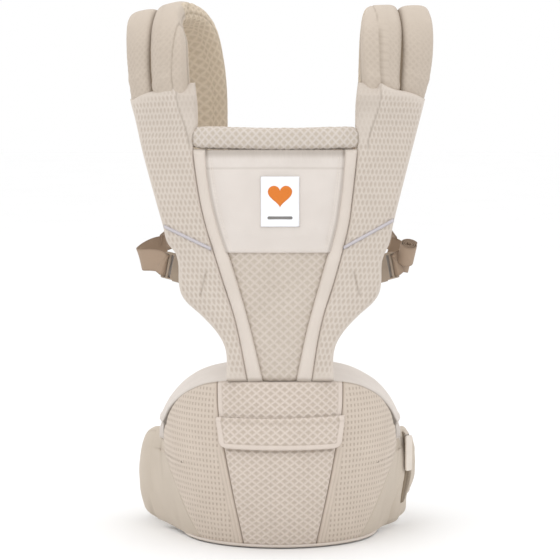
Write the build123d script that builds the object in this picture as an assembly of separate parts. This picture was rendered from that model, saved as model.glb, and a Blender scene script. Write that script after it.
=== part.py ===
"""Soft baby carrier with a hip seat: padded panel, two arched shoulder straps, domed seat and waist belt.

Millimetres. +Z up, the front (the side away from the wearer) faces -Y, X runs across the carrier.
"""
import math
import os

from build123d import *

# Seat and belt: ellipses in plan, heights in Z.
SEAT_AXIS_Y = -14.0
SEAT_LEVELS = ((0.0, 112.0, 120.0), (60.0, 129.0, 149.0), (122.0, 137.0, 161.0), (204.0, 133.0, 157.0))
SEAT_COVER = 6.0
SEAT_DOME = ((-138.0, 112.0), (-132.0, 139.0), (-120.0, 163.0), (-98.0, 182.0), (-70.0, 191.5), (0.0, 194.0))
BELT_CENTRE_Y = 68.0
BELT_OUTER = (165.0, 113.0)
BELT_THICK = 14.0
BELT_TOP = ((-138.0, 112.0), (-131.0, 146.0), (-117.0, 172.0), (-98.0, 188.0), (-68.0, 199.0), (0.0, 202.0))
BELT_HINGE_Y = -6.0
BELT_LOW = 0.5
WAIST_PAD = 6.0
SEAM_X = ((-72.0, 196.0), (-70.7, 158.0), (-63.0, 113.0), (-52.0, 55.0), (-41.0, -2.0))
GUSSET_LINE = ((-142.0, 108.0), (-135.0, 94.0), (-117.0, 52.0), (-100.0, 16.0), (-90.0, -2.0))

# Panel: thin shells about one upright axis, leaned back a little about the seat seam.
HINGE_Y = -173.0
SEAM_Z = 195.5
PANEL_AXIS_Y = 88.0
PANEL_LEAN = 3.0
PANEL_BEVEL = 22.0
R_LINING = (244.0, 248.0)
R_CENTRE = (248.0, 258.0)
R_TRIM = (248.0, 261.0)
R_WING = (248.0, 260.0)
R_POUCH = (258.0, 264.5)
R_LABEL = (264.5, 265.5)
STRAP_JOIN_Z = 506.0
TRIM_OUTER = ((-97.0, 449.0), (-94.4, 428.0), (-86.0, 381.0), (-66.0, 314.0), (-49.5, 262.0), (-36.0, 195.5))
TRIM_INNER = ((-82.0, 449.0), (-80.5, 428.0), (-72.0, 381.0), (-52.0, 318.0), (-36.5, 265.0), (-19.5, 195.5))
WING_EDGE_LOW = (
    (-60.0, 195.5), (-59.5, 215.0), (-62.0, 233.0), (-71.0, 249.0), (-89.0, 268.0), (-108.0, 285.0),
)
WING_EDGE_HIGH = ((-108.0, 285.0), (-113.0, 301.0), (-132.5, 369.0), (-154.0, 450.0), (-166.0, STRAP_JOIN_Z))
WING_EDGE_NECK = ((-112.0, STRAP_JOIN_Z), (-107.5, 490.0), (-99.0, 471.0), (-97.0, 449.0))
POUCH_LOW_Z = 338.0
ROLL_LOW_Z = 449.5
ROLL_HIGH_Z = 477.0
ROLL_HALF_ANGLE = 21.4

# Shoulder straps: slit between the two lobes (centre, direction towards the outer lobe).
LOBE_OUTER = (34.0, 18.0)
LOBE_INNER = (44.0, 21.0)
LOBE_GAP = 2.0
STRAP_LEFT = (
    ((-139.0, -105.0, 506.8), (-0.80, 0.60, 0.0)),
    ((-142.0, -103.0, 535.0), (-0.81, 0.58, 0.0)),
    ((-143.0, -97.0, 564.0), (-0.84, 0.50, -0.05)),
    ((-141.5, -80.0, 590.0), (-0.90, 0.35, -0.15)),
    ((-138.0, -53.0, 602.5), (-0.96, 0.15, -0.18)),
    ((-131.0, -24.0, 597.0), (-0.98, 0.05, -0.14)),
    ((-120.0, -1.0, 577.0), (-1.0, 0.0, -0.08)),
    ((-113.0, 12.0, 546.0), (-1.0, 0.0, 0.0)),
    ((-108.5, 19.0, 510.0), (-1.0, 0.0, 0.0)),
    ((-107.0, 22.0, 476.0), (-1.0, 0.0, 0.0)),
    ((-107.0, 23.0, 446.0), (-1.0, 0.0, 0.0)),
)
STRAP_RIGHT = (
    ((131.5, -105.0, 506.8), (0.80, 0.60, 0.0)),
    ((134.0, -103.0, 535.0), (0.90, 0.44, 0.0)),
    ((136.0, -97.0, 564.0), (0.94, 0.34, -0.03)),
    ((136.5, -80.0, 590.0), (0.96, 0.24, -0.06)),
    ((135.0, -53.0, 602.5), (0.98, 0.12, -0.08)),
    ((134.0, -24.0, 597.0), (0.99, 0.04, -0.06)),
    ((133.0, -1.0, 577.0), (1.0, 0.0, -0.03)),
    ((132.0, 12.0, 546.0), (1.0, 0.0, 0.0)),
    ((131.5, 19.0, 510.0), (1.0, 0.0, 0.0)),
    ((131.5, 22.0, 476.0), (1.0, 0.0, 0.0)),
    ((131.5, 23.0, 446.0), (1.0, 0.0, 0.0)),
)
TAIL_DROP = ((0.0, 0.0, -3.2, 70.0, 19.0), (-3.0, -1.0, -36.0, 54.0, 14.0), (-8.0, -3.0, -72.0, 30.0, 7.0))

# Webbing and buckles.
SIDE_WEBBING = 25.0
BELT_WEBBING = 40.0
CHEST_WEBBING = 20.0
WEBBING_THICK = 1.8
SIDE_BUCKLE_AT = (-117.8, -104.3, 316.9)
SIDE_BUCKLE_DIR = (-0.919, 0.335, 0.208)
LOOP_POINTS = (
    (10.6, 0, 0), (10.8, 0, 3.8), (12.3, 0, 6.1), (15.2, 0, 6.2), (20, 0, 5.0), (31, 0, 2.4), (41, 1, -2),
    (45.5, 4, -9), (45, 10, -19), (42, 19, -28),
)
ANCHOR_POINTS = ((-29.5, 7.2), (-27.0, 7.0), (-26.0, 4.4), (-25.9, 0.5))
STRAP_WEBBING_LEFT = (
    ((-142.4, -64.6, 345.0), (0.2, -0.1, 0.98)), ((-137.0, -58.0, 351.5), (0.1, -0.1, 0.98)),
    ((-124.0, -32.0, 358.0), (-0.3, 0.0, 0.95)), ((-112.0, -3.0, 364.0), (-0.8, 0.1, 0.6)),
    ((-106.5, 10.5, 371.0), (-1.0, 0.0, 0.15)), ((-105.5, 14.6, 384.0), (-1.0, 0.0, 0.0)),
)
STRAP_WEBBING_RIGHT = (
    ((142.4, -64.6, 345.0), (-0.2, -0.1, 0.98)), ((138.5, -58.0, 351.5), (-0.1, -0.1, 0.98)),
    ((137.0, -32.0, 359.0), (0.3, 0.0, 0.95)), ((137.0, -4.0, 365.0), (0.8, 0.1, 0.6)),
    ((136.6, 10.5, 372.0), (1.0, 0.0, 0.15)), ((136.5, 14.6, 385.0), (1.0, 0.0, 0.0)),
)
WAIST_GAP = 8.0
WAIST_Z = 62.0
WAIST_Y = 175.44
CHEST_X = 14.0
CHEST_Z = 455.0
CHEST_Y = 39.5
PRONG_REACH = 20.0
PRONG_ROOT = 1.5

FLAP_OUTLINE = ((-70.5, 155.5), (70.5, 157.5), (66.5, 119.5), (-66.5, 117.5))


def save(shape, node):
    """Write one node as a STEP file of one or more solids."""
    os.makedirs("parts", exist_ok=True)
    export_step(Compound(shape.solids()), f"parts/{node}.step")


def mirrored(points):
    """The same outline points on the other side of the carrier, in reverse order."""
    return tuple((-x, z) for x, z in reversed(points))


def front_prism(*chains, y_low=-240.0, y_high=240.0):
    """Solid seen from the front as a closed outline; a chain of three or more points is a smooth curve."""
    edges = []
    for chain in chains:
        points = [(x, y_low, z) for x, z in chain]
        edges.append(Line(*points) if len(points) == 2 else Spline(*points))
    return extrude(make_face(Wire(edges)), amount=y_high - y_low, dir=(0, 1, 0))


def side_prism(points, x_low, x_high):
    """Solid seen from the side as a closed polygon of (y, z) points."""
    wire = Polyline(*[(x_low, y, z) for y, z in points], close=True)
    return extrude(make_face(wire), amount=x_high - x_low, dir=(1, 0, 0))


def block(x_low, x_high, y_low, y_high, z_low, z_high):
    """Axis-aligned box between two corners."""
    centre = Pos((x_low + x_high) / 2, (y_low + y_high) / 2, (z_low + z_high) / 2)
    return centre * Box(x_high - x_low, y_high - y_low, z_high - z_low)


def dome(points, drop):
    """Everything below a dome profile lowered by drop."""
    left = tuple((x, z - drop) for x, z in points)
    curve = left + tuple((-x, z) for x, z in reversed(left[:-1]))
    low_left = (left[0][0] - 12.0, left[0][1] - 30.0)
    low_right = (-low_left[0], low_left[1])
    floor_left = (low_left[0], -20.0)
    floor_right = (-low_left[0], -20.0)
    return front_prism(
        curve,
        (curve[-1], low_right),
        (low_right, floor_right),
        (floor_right, floor_left),
        (floor_left, low_left),
        (low_left, curve[0]),
    )


def seat_body(grow):
    """Elliptical seat body, every wall moved outwards by grow."""
    sections = []
    for z, half_width, reach in SEAT_LEVELS:
        sections.append(Pos(0, SEAT_AXIS_Y, z) * Ellipse(half_width + grow, reach + grow))
    return loft(sections)


def belt_tube(offset, z_low=-20.0, z_high=230.0):
    """Upright elliptical column; offset 0 is the belt's outer face, negative values lie inside it."""
    half_width, reach = BELT_OUTER
    ellipse = Pos(0, BELT_CENTRE_Y, z_low) * Ellipse(half_width + offset, reach + offset)
    return extrude(ellipse, amount=z_high - z_low)


def belt_shell(outer, inner):
    """Ring between two belt columns."""
    return belt_tube(outer) - belt_tube(inner)


def belt_point(x, side, back=False):
    """Point and outward normal on the belt's outer face at a distance x from the middle."""
    half_width, reach = BELT_OUTER
    cosine = x / half_width
    sine = math.sqrt(1 - cosine * cosine) * (1 if back else -1)
    normal = Vector(side * cosine / half_width, sine / reach, 0).normalized()
    return Vector(side * x, BELT_CENTRE_Y + reach * sine, 0), normal


def panel_shell(radii):
    """Upright shell about the panel's axis, front half only."""
    inner, outer = radii
    ring = Pos(0, PANEL_AXIS_Y, 150) * (
        extrude(Circle(outer), amount=380) - extrude(Circle(inner), amount=380)
    )
    return ring & block(-240, 240, -240, PANEL_AXIS_Y - 60, 150, 530)


def lean(shape):
    """Lean a panel piece back about the seat seam."""
    return shape.rotate(Axis((0, HINGE_Y, SEAM_Z), (1, 0, 0)), -PANEL_LEAN)


def bevel_cut():
    """Wedge under the panel that leaves room to lean it back over the seat."""
    rise = 120.0 * math.tan(math.radians(PANEL_BEVEL))
    points = ((HINGE_Y, SEAM_Z), (HINGE_Y + 120.0, SEAM_Z + rise), (HINGE_Y + 120.0, 150.0), (HINGE_Y, 150.0))
    return side_prism(points, -240, 240)


def panel_piece(radii, *chains):
    """Panel piece from its front outline, its shell and the bevelled foot."""
    return lean(panel_shell(radii) & front_prism(*chains, y_high=0.0)) - bevel_cut()


def frames(stations):
    """Centre, across direction and tangent at each station of a strap."""
    centres = [Vector(*centre) for centre, across in stations]
    result = []
    for index, (centre, across) in enumerate(zip(centres, [Vector(*s[1]) for s in stations])):
        before = centres[max(index - 1, 0)]
        after = centres[min(index + 1, len(centres) - 1)]
        tangent = (after - before).normalized()
        across = (across - tangent * across.dot(tangent)).normalized()
        result.append((centre, across, tangent))
    return result


def padded_band(stations, offset, width, thick, corner):
    """Padded strap lobe lofted along its stations, moved sideways by offset."""
    sections = []
    for centre, across, tangent in frames(stations):
        plane = Plane(origin=centre + across * offset, x_dir=across, z_dir=tangent)
        sections.append(plane * RectangleRounded(width, thick, corner))
    return loft(sections)


def flat_band(stations, width, thick=WEBBING_THICK):
    """Flat webbing lofted along its stations."""
    sections = []
    for centre, across, tangent in frames(stations):
        plane = Plane(origin=centre, x_dir=across, z_dir=tangent)
        sections.append(plane * Rectangle(width, thick))
    return loft(sections, ruled=True)


def side_release_buckle(strap_width):
    """Female, male and two prongs about the mouth plane; +X leaves the female, Y across, Z through."""
    scale = strap_width / 25.0
    width = strap_width + 7.0
    thick = 11.0 if strap_width > 22.0 else 9.0
    reach = PRONG_REACH * scale
    head = reach - 9.0 * scale
    hollow = thick / 2 - 2.3
    slot = strap_width / 2 + 0.6

    female = block(-30 * scale, 0, -width / 2, width / 2, -thick / 2, thick / 2)
    rounded = female.edges().filter_by(Axis.X) + female.edges().filter_by(Axis.Z).group_by(Axis.X)[0]
    female = fillet(rounded, 2.2)
    female -= block(-reach - 2.5, 1, 3 - width / 2, width / 2 - 3, -hollow, hollow)
    female -= block(-reach - 0.6, 0.6 - head, -width, width, -hollow, hollow)
    female -= block(-27.5 * scale, -24.3 * scale, -slot, slot, -thick, thick)

    male = block(0.4, 15 * scale, 1 - width / 2, width / 2 - 1, 1 - thick / 2, thick / 2 - 1)
    male = fillet(male.edges().filter_by(Axis.X) + male.edges().filter_by(Axis.Z).group_by(Axis.X)[-1], 1.8)
    male -= block(3.4 * scale, 6.6 * scale, -slot, slot, -thick, thick)
    male -= block(9.2 * scale, 12.2 * scale, -slot, slot, -thick, thick)
    male += block(-reach, 0.4, -3 * scale, 3 * scale, 0.6 - hollow, hollow - 0.6)

    inner = 7.5 * scale
    outer = width / 2 - 0.3
    outline = (
        (-PRONG_ROOT + 0.5, inner),
        (-PRONG_ROOT + 0.5, inner + 3.4),
        (-head, inner + 4.0),
        (-head, outer),
        (-head - 4.5 * scale, outer),
        (-reach, inner + 4.0),
        (-reach, inner),
    )
    prong = extrude(make_face(Polyline(*outline, close=True)), amount=2 * hollow - 1.2)
    prong = Pos(0, 0, 0.6 - hollow) * prong
    return {"female": female, "male": male, "prong_a": prong, "prong_b": mirror(prong, about=Plane.XZ)}


# Seat
outer_body = seat_body(0.0) & dome(SEAT_DOME, 0.0) & block(-150, 150, -200, SEAT_AXIS_Y, 0, 220)
outer_body -= belt_tube(0.0)
under_cover = dome(SEAT_DOME, SEAT_COVER)
core_body = seat_body(-SEAT_COVER) & under_cover
core_body &= block(-150, 150, -200, SEAT_AXIS_Y - SEAT_COVER, SEAT_COVER, 220)
core_body -= belt_tube(3.0)
board = belt_shell(3.0, 0.0) & seat_body(-SEAT_COVER) & under_cover
board &= block(-104, 104, -200, SEAT_AXIS_Y - SEAT_COVER, SEAT_COVER, 220)
walls = (outer_body & under_cover) - core_body - board
base = walls & block(-150, 150, -200, 50, 0, SEAT_COVER)
skirt = walls & block(-150, 150, -200, 50, SEAT_COVER, 220)
middle = front_prism(
    SEAM_X, (SEAM_X[-1], (-SEAM_X[-1][0], SEAM_X[-1][1])), mirrored(SEAM_X), ((72.0, 196.0), (-72.0, 196.0)),
    y_high=-80.0,
)
corner_left = front_prism(
    GUSSET_LINE, (GUSSET_LINE[-1], (-160.0, -2.0)), ((-160.0, -2.0), (-160.0, 108.0)),
    ((-160.0, 108.0), GUSSET_LINE[0]),
)
corners = corner_left + mirror(corner_left, about=Plane.YZ)

save(core_body, "seat_core")
save(board, "seat_back_board")
save(outer_body - under_cover, "seat_top_cover")
save(skirt & middle, "seat_front_panel")
save(skirt - middle - corners, "seat_sides")
save((skirt - middle) & corners, "seat_gussets")
save(base, "seat_base")
piping = (seat_body(1.4) - seat_body(0.0)) & block(-150, 150, -200, SEAT_AXIS_Y, 0.2, 4.2)
save(piping - belt_tube(0.0), "seat_piping")

# Belt: middle section fixed to the seat, two padded wings hinged to it
belt_front = block(-200, 200, -100, BELT_HINGE_Y - 0.4, BELT_LOW, 230)
save(belt_shell(0.0, -BELT_THICK) & dome(BELT_TOP, 0.0) & belt_front, "belt_middle")
pad = belt_shell(-BELT_THICK, -BELT_THICK - WAIST_PAD) & dome(BELT_TOP, 22.0)
save(pad & block(-200, 200, -100, BELT_HINGE_Y - 6, 14, 230), "waist_pad")

WING_SIDE = (
    (BELT_HINGE_Y, 1.0), (30.0, 6.0), (90.0, 12.0), (190.0, 28.0),
    (190.0, 96.0), (110.0, 108.0), (40.0, 115.0), (BELT_HINGE_Y, 117.0),
)
wing = belt_shell(0.0, -BELT_THICK) & side_prism(WING_SIDE, -200, 0)
wing &= block(-200, -70, BELT_HINGE_Y, 200, 0, 200)
save(wing, "belt_wing_left")
save(mirror(wing, about=Plane.YZ), "belt_wing_right")
male_run = ((-69.6, -6.4), (-64.0, -5.8), (-58.5, -6.3), (-54.9, -6.2), (-53.2, -3.6), (-53.1, 1.0))
female_run = ((69.6, -6.6), (61.0, -6.8), (53.0, -7.3), (47.4, -7.1), (45.6, -4.2), (45.4, 0.0))
for run, node in ((male_run, "belt_webbing_left"), (female_run, "belt_webbing_right")):
    save(flat_band([((x, WAIST_Y + y, WAIST_Z), (0, 0, 1)) for x, y in run], BELT_WEBBING), node)

# Waist buckle, its halves just apart at the back
waist = side_release_buckle(BELT_WEBBING)
waist_scale = BELT_WEBBING / 25.0
waist_female = Plane(origin=(WAIST_GAP / 2, WAIST_Y, WAIST_Z), x_dir=(-1, 0, 0), z_dir=(0, 1, 0)).location
waist_mouth_x = -WAIST_GAP / 2 - PRONG_REACH * waist_scale
waist_male = Plane(origin=(waist_mouth_x, WAIST_Y, WAIST_Z), x_dir=(-1, 0, 0), z_dir=(0, 1, 0)).location
save(waist_female * waist["female"], "waist_buckle_female")
save(waist_male * waist["male"], "waist_buckle_male")
save(waist_male * waist["prong_a"], "waist_prong_high")
save(waist_male * waist["prong_b"], "waist_prong_low")

# Pocket on the right-hand wing with its zip
pocket_side = ((22.0, 30.0), (100.0, 34.0), (100.0, 96.0), (22.0, 108.0))
pocket = belt_shell(4.0, 0.0) & side_prism(pocket_side, 0, 200)
save(pocket, "belt_pocket")
zip_side = ((13.0, 28.0), (21.5, 28.0), (21.5, 112.0), (13.0, 112.0))
save(belt_shell(1.6, 0.0) & side_prism(zip_side, 0, 200), "pocket_zip")
zip_point, zip_normal = belt_point(147.6, 1)
zip_frame = Plane(origin=zip_point + zip_normal * 2.0 + Vector(0, 0, 104), x_dir=(0, 0, 1), z_dir=zip_normal)
slider = extrude(RectangleRounded(11, 7.5, 2), amount=3.0)
save(zip_frame.location * slider, "zip_slider")
tab = Pos(-16.5, 0, 3.4) * extrude(RectangleRounded(42, 12.5, 3), amount=1.8)
save(zip_frame.location * tab, "zip_pull")

# Flap over the front of the seat
front = block(-90, 90, -240, -80, 60, 190)
flap_edges = [(FLAP_OUTLINE[i], FLAP_OUTLINE[(i + 1) % 4]) for i in range(4)]
save((seat_body(5.0) - seat_body(2.0)) & front & front_prism(*flap_edges), "seat_flap")
tape_shape = front_prism(
    ((-58, 130), (58, 131.5)), ((58, 131.5), (57, 123)), ((57, 123), (-57, 121.5)), ((-57, 121.5), (-58, 130))
)
save((seat_body(2.0) - seat_body(1.2)) & front & tape_shape, "flap_hook_tape")
save((seat_body(0.8) - seat_body(0.0)) & front & tape_shape, "seat_loop_tape")

# Panel
centre_chains = (
    TRIM_INNER, (TRIM_INNER[-1], (-TRIM_INNER[-1][0], SEAM_Z)), mirrored(TRIM_INNER),
    ((82.0, 449.0), (-82.0, 449.0)),
)
save(panel_piece(R_CENTRE, *centre_chains), "panel_mesh")
trim = panel_piece(
    R_TRIM, TRIM_OUTER, (TRIM_OUTER[-1], TRIM_INNER[-1]), tuple(reversed(TRIM_INNER)),
    ((-82.0, 449.0), (-97.0, 449.0)),
)
trims = trim + mirror(trim, about=Plane.YZ)
save(trims, "panel_trims")
wing_chains = (
    tuple(reversed(TRIM_OUTER)), tuple(reversed(WING_EDGE_NECK)), (WING_EDGE_NECK[0], WING_EDGE_HIGH[-1]),
    tuple(reversed(WING_EDGE_HIGH)), tuple(reversed(WING_EDGE_LOW)), (WING_EDGE_LOW[0], TRIM_OUTER[-1]),
)
panel_wing = panel_piece(R_WING, *wing_chains)
save(panel_wing, "panel_wing_left")
save(mirror(panel_wing, about=Plane.YZ), "panel_wing_right")
lining_low = tuple((x + 1.5, z) for x, z in WING_EDGE_LOW)
lining_high = ((-106.5, 285.0), (-111.0, 301.0), (-130.5, 369.0), (-151.0, 448.0))
lining = panel_piece(
    R_LINING, lining_low, lining_high, (lining_high[-1], (-lining_high[-1][0], 448.0)), mirrored(lining_high),
    mirrored(lining_low), ((58.5, SEAM_Z), (-58.5, SEAM_Z)),
)
save(lining, "panel_lining")


def ladder(top_half, top_z, low_half, low_z):
    """Closed outline of a symmetric four-sided patch."""
    corners = ((-top_half, top_z), (-low_half, low_z), (low_half, low_z), (top_half, top_z))
    return [(corners[i], corners[(i + 1) % 4]) for i in range(4)]


pouch = panel_piece(R_POUCH, *centre_chains) & block(-100, 100, -200, 0, POUCH_LOW_Z, 460)
save(pouch - panel_piece((R_POUCH[0] - 1, 262.0), *ladder(70, 438, 52, 348)), "hood_pouch")
save(panel_piece((R_POUCH[0] + 0.1, 261.8), *ladder(68, 436, 50, 350)), "stowed_hood")
save(panel_piece(R_LABEL, *ladder(21.5, 422.5, 21.5, 366.5)), "label")

stripe_corners = ((-130.5, 364.5), (-131.2, 367.6), (-79.8, 344.8), (-79.0, 341.5))
stripe_edges = [(stripe_corners[i], stripe_corners[(i + 1) % 4]) for i in range(4)]
stripe_left = panel_piece((R_WING[1], R_WING[1] + 0.5), *stripe_edges)
save(stripe_left + mirror(stripe_left, about=Plane.YZ), "reflective_stripes")

roll_section = Plane(origin=(0, PANEL_AXIS_Y, 0), x_dir=(0, -1, 0), z_dir=(-1, 0, 0)).location
roll_section *= Pos(252.5, (ROLL_LOW_Z + ROLL_HIGH_Z) / 2)
roll_axis = Axis((0, PANEL_AXIS_Y, 0), (0, 0, 1))
roll = revolve(roll_section * Ellipse(8.5, (ROLL_HIGH_Z - ROLL_LOW_Z) / 2), roll_axis, 2 * ROLL_HALF_ANGLE)
save(lean(roll.rotate(roll_axis, -ROLL_HALF_ANGLE)), "head_roll")

# Shoulder straps
outer_offset = (LOBE_GAP + LOBE_OUTER[0]) / 2
inner_offset = -(LOBE_GAP + LOBE_INNER[0]) / 2
tail_offset = (LOBE_OUTER[0] - LOBE_INNER[0]) / 2
for side, name, strap in ((-1, "left", STRAP_LEFT), (1, "right", STRAP_RIGHT)):
    save(padded_band(strap, outer_offset, *LOBE_OUTER, 6.0), f"strap_{name}_outer_lobe")
    save(padded_band(strap, inner_offset, *LOBE_INNER, 7.0), f"strap_{name}_inner_lobe")
    end = Vector(*strap[-1][0]) + Vector(side * tail_offset, 0, 0)
    sections = []
    for dx, dy, dz, width, thick in TAIL_DROP:
        plane = Plane(origin=end + Vector(-side * dx, dy, dz), x_dir=(1, 0, 0), z_dir=(0, 0, 1))
        sections.append(plane * RectangleRounded(width, thick, thick * 0.3))
    save(loft(sections), f"strap_{name}_tail")

# Side buckles: female sewn to the panel, male and its loop free to slide out
side_buckle = side_release_buckle(SIDE_WEBBING)
direction = Vector(*SIDE_BUCKLE_DIR).normalized()
up = (Vector(0, 0, 1) - direction * direction.Z).normalized()
face = up.cross(direction)
origin = Vector(*SIDE_BUCKLE_AT)
left_frame = Plane(origin=origin, x_dir=direction, z_dir=face).location
females = left_frame * side_buckle["female"]
save(females + mirror(females, about=Plane.YZ), "side_buckle_females")
anchor_points = [(-66.0, -131.5, 303.6), (-78.0, -127.0, 306.2)]
anchor_points += [tuple(origin + direction * u + face * w) for u, w in ANCHOR_POINTS]
anchor = flat_band([(point, tuple(up)) for point in anchor_points], SIDE_WEBBING, 1.6)
save(anchor + mirror(anchor, about=Plane.YZ), "buckle_anchors")

loop_stations = []
for u, v, w in LOOP_POINTS:
    loop_stations.append((tuple(origin + direction * u + up * v + face * w), tuple(up)))
loop_left = flat_band(loop_stations, SIDE_WEBBING)
roll_frame = Plane(origin=(-136.0, -88.0, 346.5), x_dir=face, z_dir=direction).location
webbing_roll = mirror(roll_frame * extrude(Circle(8.5), amount=12.5, both=True), about=Plane.YZ)
save(loop_left, "webbing_loop_left")
save(mirror(loop_left, about=Plane.YZ) + webbing_roll, "webbing_loop_right")
for piece, node in (("male", "male"), ("prong_a", "prong_low"), ("prong_b", "prong_high")):
    shape = left_frame * side_buckle[piece]
    save(shape, f"side_buckle_left_{node}")
    save(mirror(shape, about=Plane.YZ), f"side_buckle_right_{node}")
web_left, web_right = (flat_band(run, SIDE_WEBBING) for run in (STRAP_WEBBING_LEFT, STRAP_WEBBING_RIGHT))
save(web_left + web_right, "strap_webbing")

# Chest strap across the straps' rear legs
chest = side_release_buckle(CHEST_WEBBING)
chest_frame = Plane(origin=(CHEST_X, CHEST_Y, CHEST_Z), x_dir=(1, 0, 0), z_dir=(0, 1, 0)).location
chest_pieces = (("female", "female"), ("male", "male"), ("prong_a", "prong_low"), ("prong_b", "prong_high"))
for piece, node in chest_pieces:
    save(chest_frame * chest[piece], f"chest_buckle_{node}")
chest_left = ((-84.0, -0.2), (-40.0, 0.0), (-18.0, 3.8), (-11.0, 6.0), (-8.0, 5.9), (-6.9, 3.8), (-6.7, 0.5))
chest_right = ((112.0, -0.2), (60.0, 0.0), (34.0, 3.6), (27.0, 5.4), (23.9, 5.5), (22.6, 3.2), (22.5, 0.0))
for run, node in ((chest_left, "chest_webbing_left"), (chest_right, "chest_webbing_right")):
    save(flat_band([((x, CHEST_Y + y, CHEST_Z), (0, 0, 1)) for x, y in run], CHEST_WEBBING, 1.4), node)
sliders = []
for x in (-85.0, 113.0):
    plate = fillet(block(x - 14, x + 14, 34.2, 38.4, CHEST_Z - 15, CHEST_Z + 15).edges().filter_by(Axis.Y), 4)
    sliders.append(plate)
save(sliders[0] + sliders[1], "chest_sliders")
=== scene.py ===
"""Soft baby carrier with a hip seat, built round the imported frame. Outlines are in millimetres, meshes in metres."""
import math

import bmesh
import bpy
import numpy as np
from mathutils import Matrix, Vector


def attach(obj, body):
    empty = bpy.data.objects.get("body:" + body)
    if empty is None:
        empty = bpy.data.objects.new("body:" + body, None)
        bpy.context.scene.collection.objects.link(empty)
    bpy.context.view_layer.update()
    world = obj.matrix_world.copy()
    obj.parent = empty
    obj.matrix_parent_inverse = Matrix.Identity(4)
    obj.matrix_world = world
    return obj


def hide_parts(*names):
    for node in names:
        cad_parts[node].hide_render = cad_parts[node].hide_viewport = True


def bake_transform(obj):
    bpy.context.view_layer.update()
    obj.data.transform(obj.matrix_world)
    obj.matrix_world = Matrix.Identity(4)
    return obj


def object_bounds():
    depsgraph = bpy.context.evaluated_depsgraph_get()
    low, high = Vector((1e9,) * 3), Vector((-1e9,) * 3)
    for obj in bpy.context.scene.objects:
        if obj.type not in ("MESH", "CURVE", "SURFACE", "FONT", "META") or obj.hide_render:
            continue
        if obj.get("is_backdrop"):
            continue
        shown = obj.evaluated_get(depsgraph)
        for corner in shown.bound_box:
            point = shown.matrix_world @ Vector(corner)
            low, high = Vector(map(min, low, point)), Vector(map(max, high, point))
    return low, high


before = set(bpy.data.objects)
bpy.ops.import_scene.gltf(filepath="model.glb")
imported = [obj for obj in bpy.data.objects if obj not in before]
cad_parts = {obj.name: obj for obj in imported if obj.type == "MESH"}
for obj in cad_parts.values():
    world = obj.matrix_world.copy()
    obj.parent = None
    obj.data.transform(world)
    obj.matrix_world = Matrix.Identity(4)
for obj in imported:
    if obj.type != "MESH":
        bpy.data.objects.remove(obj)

cad_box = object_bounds()
MM = 0.001

# Seat, belt and panel shapes, as in the CAD model: a level is a height, a half width and a reach, and the other
# tables are (at, value) points, with outlines as (height, distance from the middle).
SEAT_Y = -14.0
SEAT_LEVELS = ((0, 112, 120), (60, 129, 149), (122, 137, 161), (204, 133, 157))
SEAT_DOME = (
    (0, 194), (70, 191.5), (98, 182), (120, 163), (132, 139), (138, 112), (141, 60),
)
BELT_Y = 68.0
BELT_A, BELT_B = 165.0, 113.0
BELT_TOP = (
    (0, 202), (68, 198.5), (98, 186), (117, 170), (131, 147.5), (139.5, 129), (143.5, 117),
)
SEAM_X = ((-2, 41), (55, 52), (113, 63), (158, 70.7), (196, 72))
GUSSET = ((-2, 88), (16, 100), (52, 117), (94, 135), (112, 141))
HINGE_Y, SEAM_Z = -173.0, 195.5
PANEL_Y, LEAN = 88.0, math.radians(3.0)
TRIM_OUTER = ((195.5, 36), (262, 49.5), (314, 66), (381, 86), (428, 94.4), (449, 97))
TRIM_INNER = ((195.5, 19.5), (265, 36.5), (318, 52), (381, 72), (428, 80.5), (449, 82))
WING_LOW = (
    (195.5, 60), (215, 59.5), (233, 62), (249, 71), (268, 89), (281, 104), (290, 110.5),
    (301, 113.5), (328, 115), (338, 118.5), (347, 126), (369, 132.5),
)
WING_OUT = {
    -1: (*WING_LOW, (450, 155.5), (490, 165), (506, 169.5), (516, 171.5), (530, 172.5)),
    1: (*WING_LOW[:-2], (347, 123), (369, 127.5), (395, 134), (450, 148.5), (506, 163.5), (516, 166),
        (530, 168)),
}
WING_IN = (
    (195.5, 36), (262, 49.5), (314, 66), (381, 86), (428, 94.4), (449, 96.5), (470, 95.5),
    (482, 92), (506, 92.5), (530, 95.5),
)
# How much further in the panel's right side stands than its left, by height.
TWIST = (
    (195.5, 1), (240, 2.5), (318, 3.5), (369, 6.5), (395, 9), (449, 11), (470, 10), (482, 8),
)


def interp(points, at):
    """Smooth value of a table of (at, value) points, without overshoot."""
    xs = np.array([p[0] for p in points], float)
    ys = np.array([p[1] for p in points], float)
    slope = np.diff(ys) / np.diff(xs)
    tangent = np.concatenate([[slope[0]], (slope[1:] + slope[:-1]) / 2, [slope[-1]]])
    flat = np.concatenate([[False], slope[1:] * slope[:-1] <= 0, [False]])
    tangent[flat] = 0.0
    at = np.clip(np.asarray(at, float), xs[0], xs[-1])
    i = np.clip(np.searchsorted(xs, at, side="right") - 1, 0, len(xs) - 2)
    step = xs[i + 1] - xs[i]
    t = (at - xs[i]) / step
    a, b, m, n = ys[i], ys[i + 1], tangent[i] * step, tangent[i + 1] * step
    return (2 * t**3 - 3 * t**2 + 1) * a + (t**3 - 2 * t**2 + t) * m + (3 * t**2 - 2 * t**3) * b + (t**3 - t**2) * n


def ease(t):
    """Smooth step from 0 to 1."""
    t = np.clip(t, 0.0, 1.0)
    return t * t * (3 - 2 * t)


def groove(distance, width):
    """1 on a seam, falling to 0 over about a width."""
    return np.exp(-((distance / width) ** 2))


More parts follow.
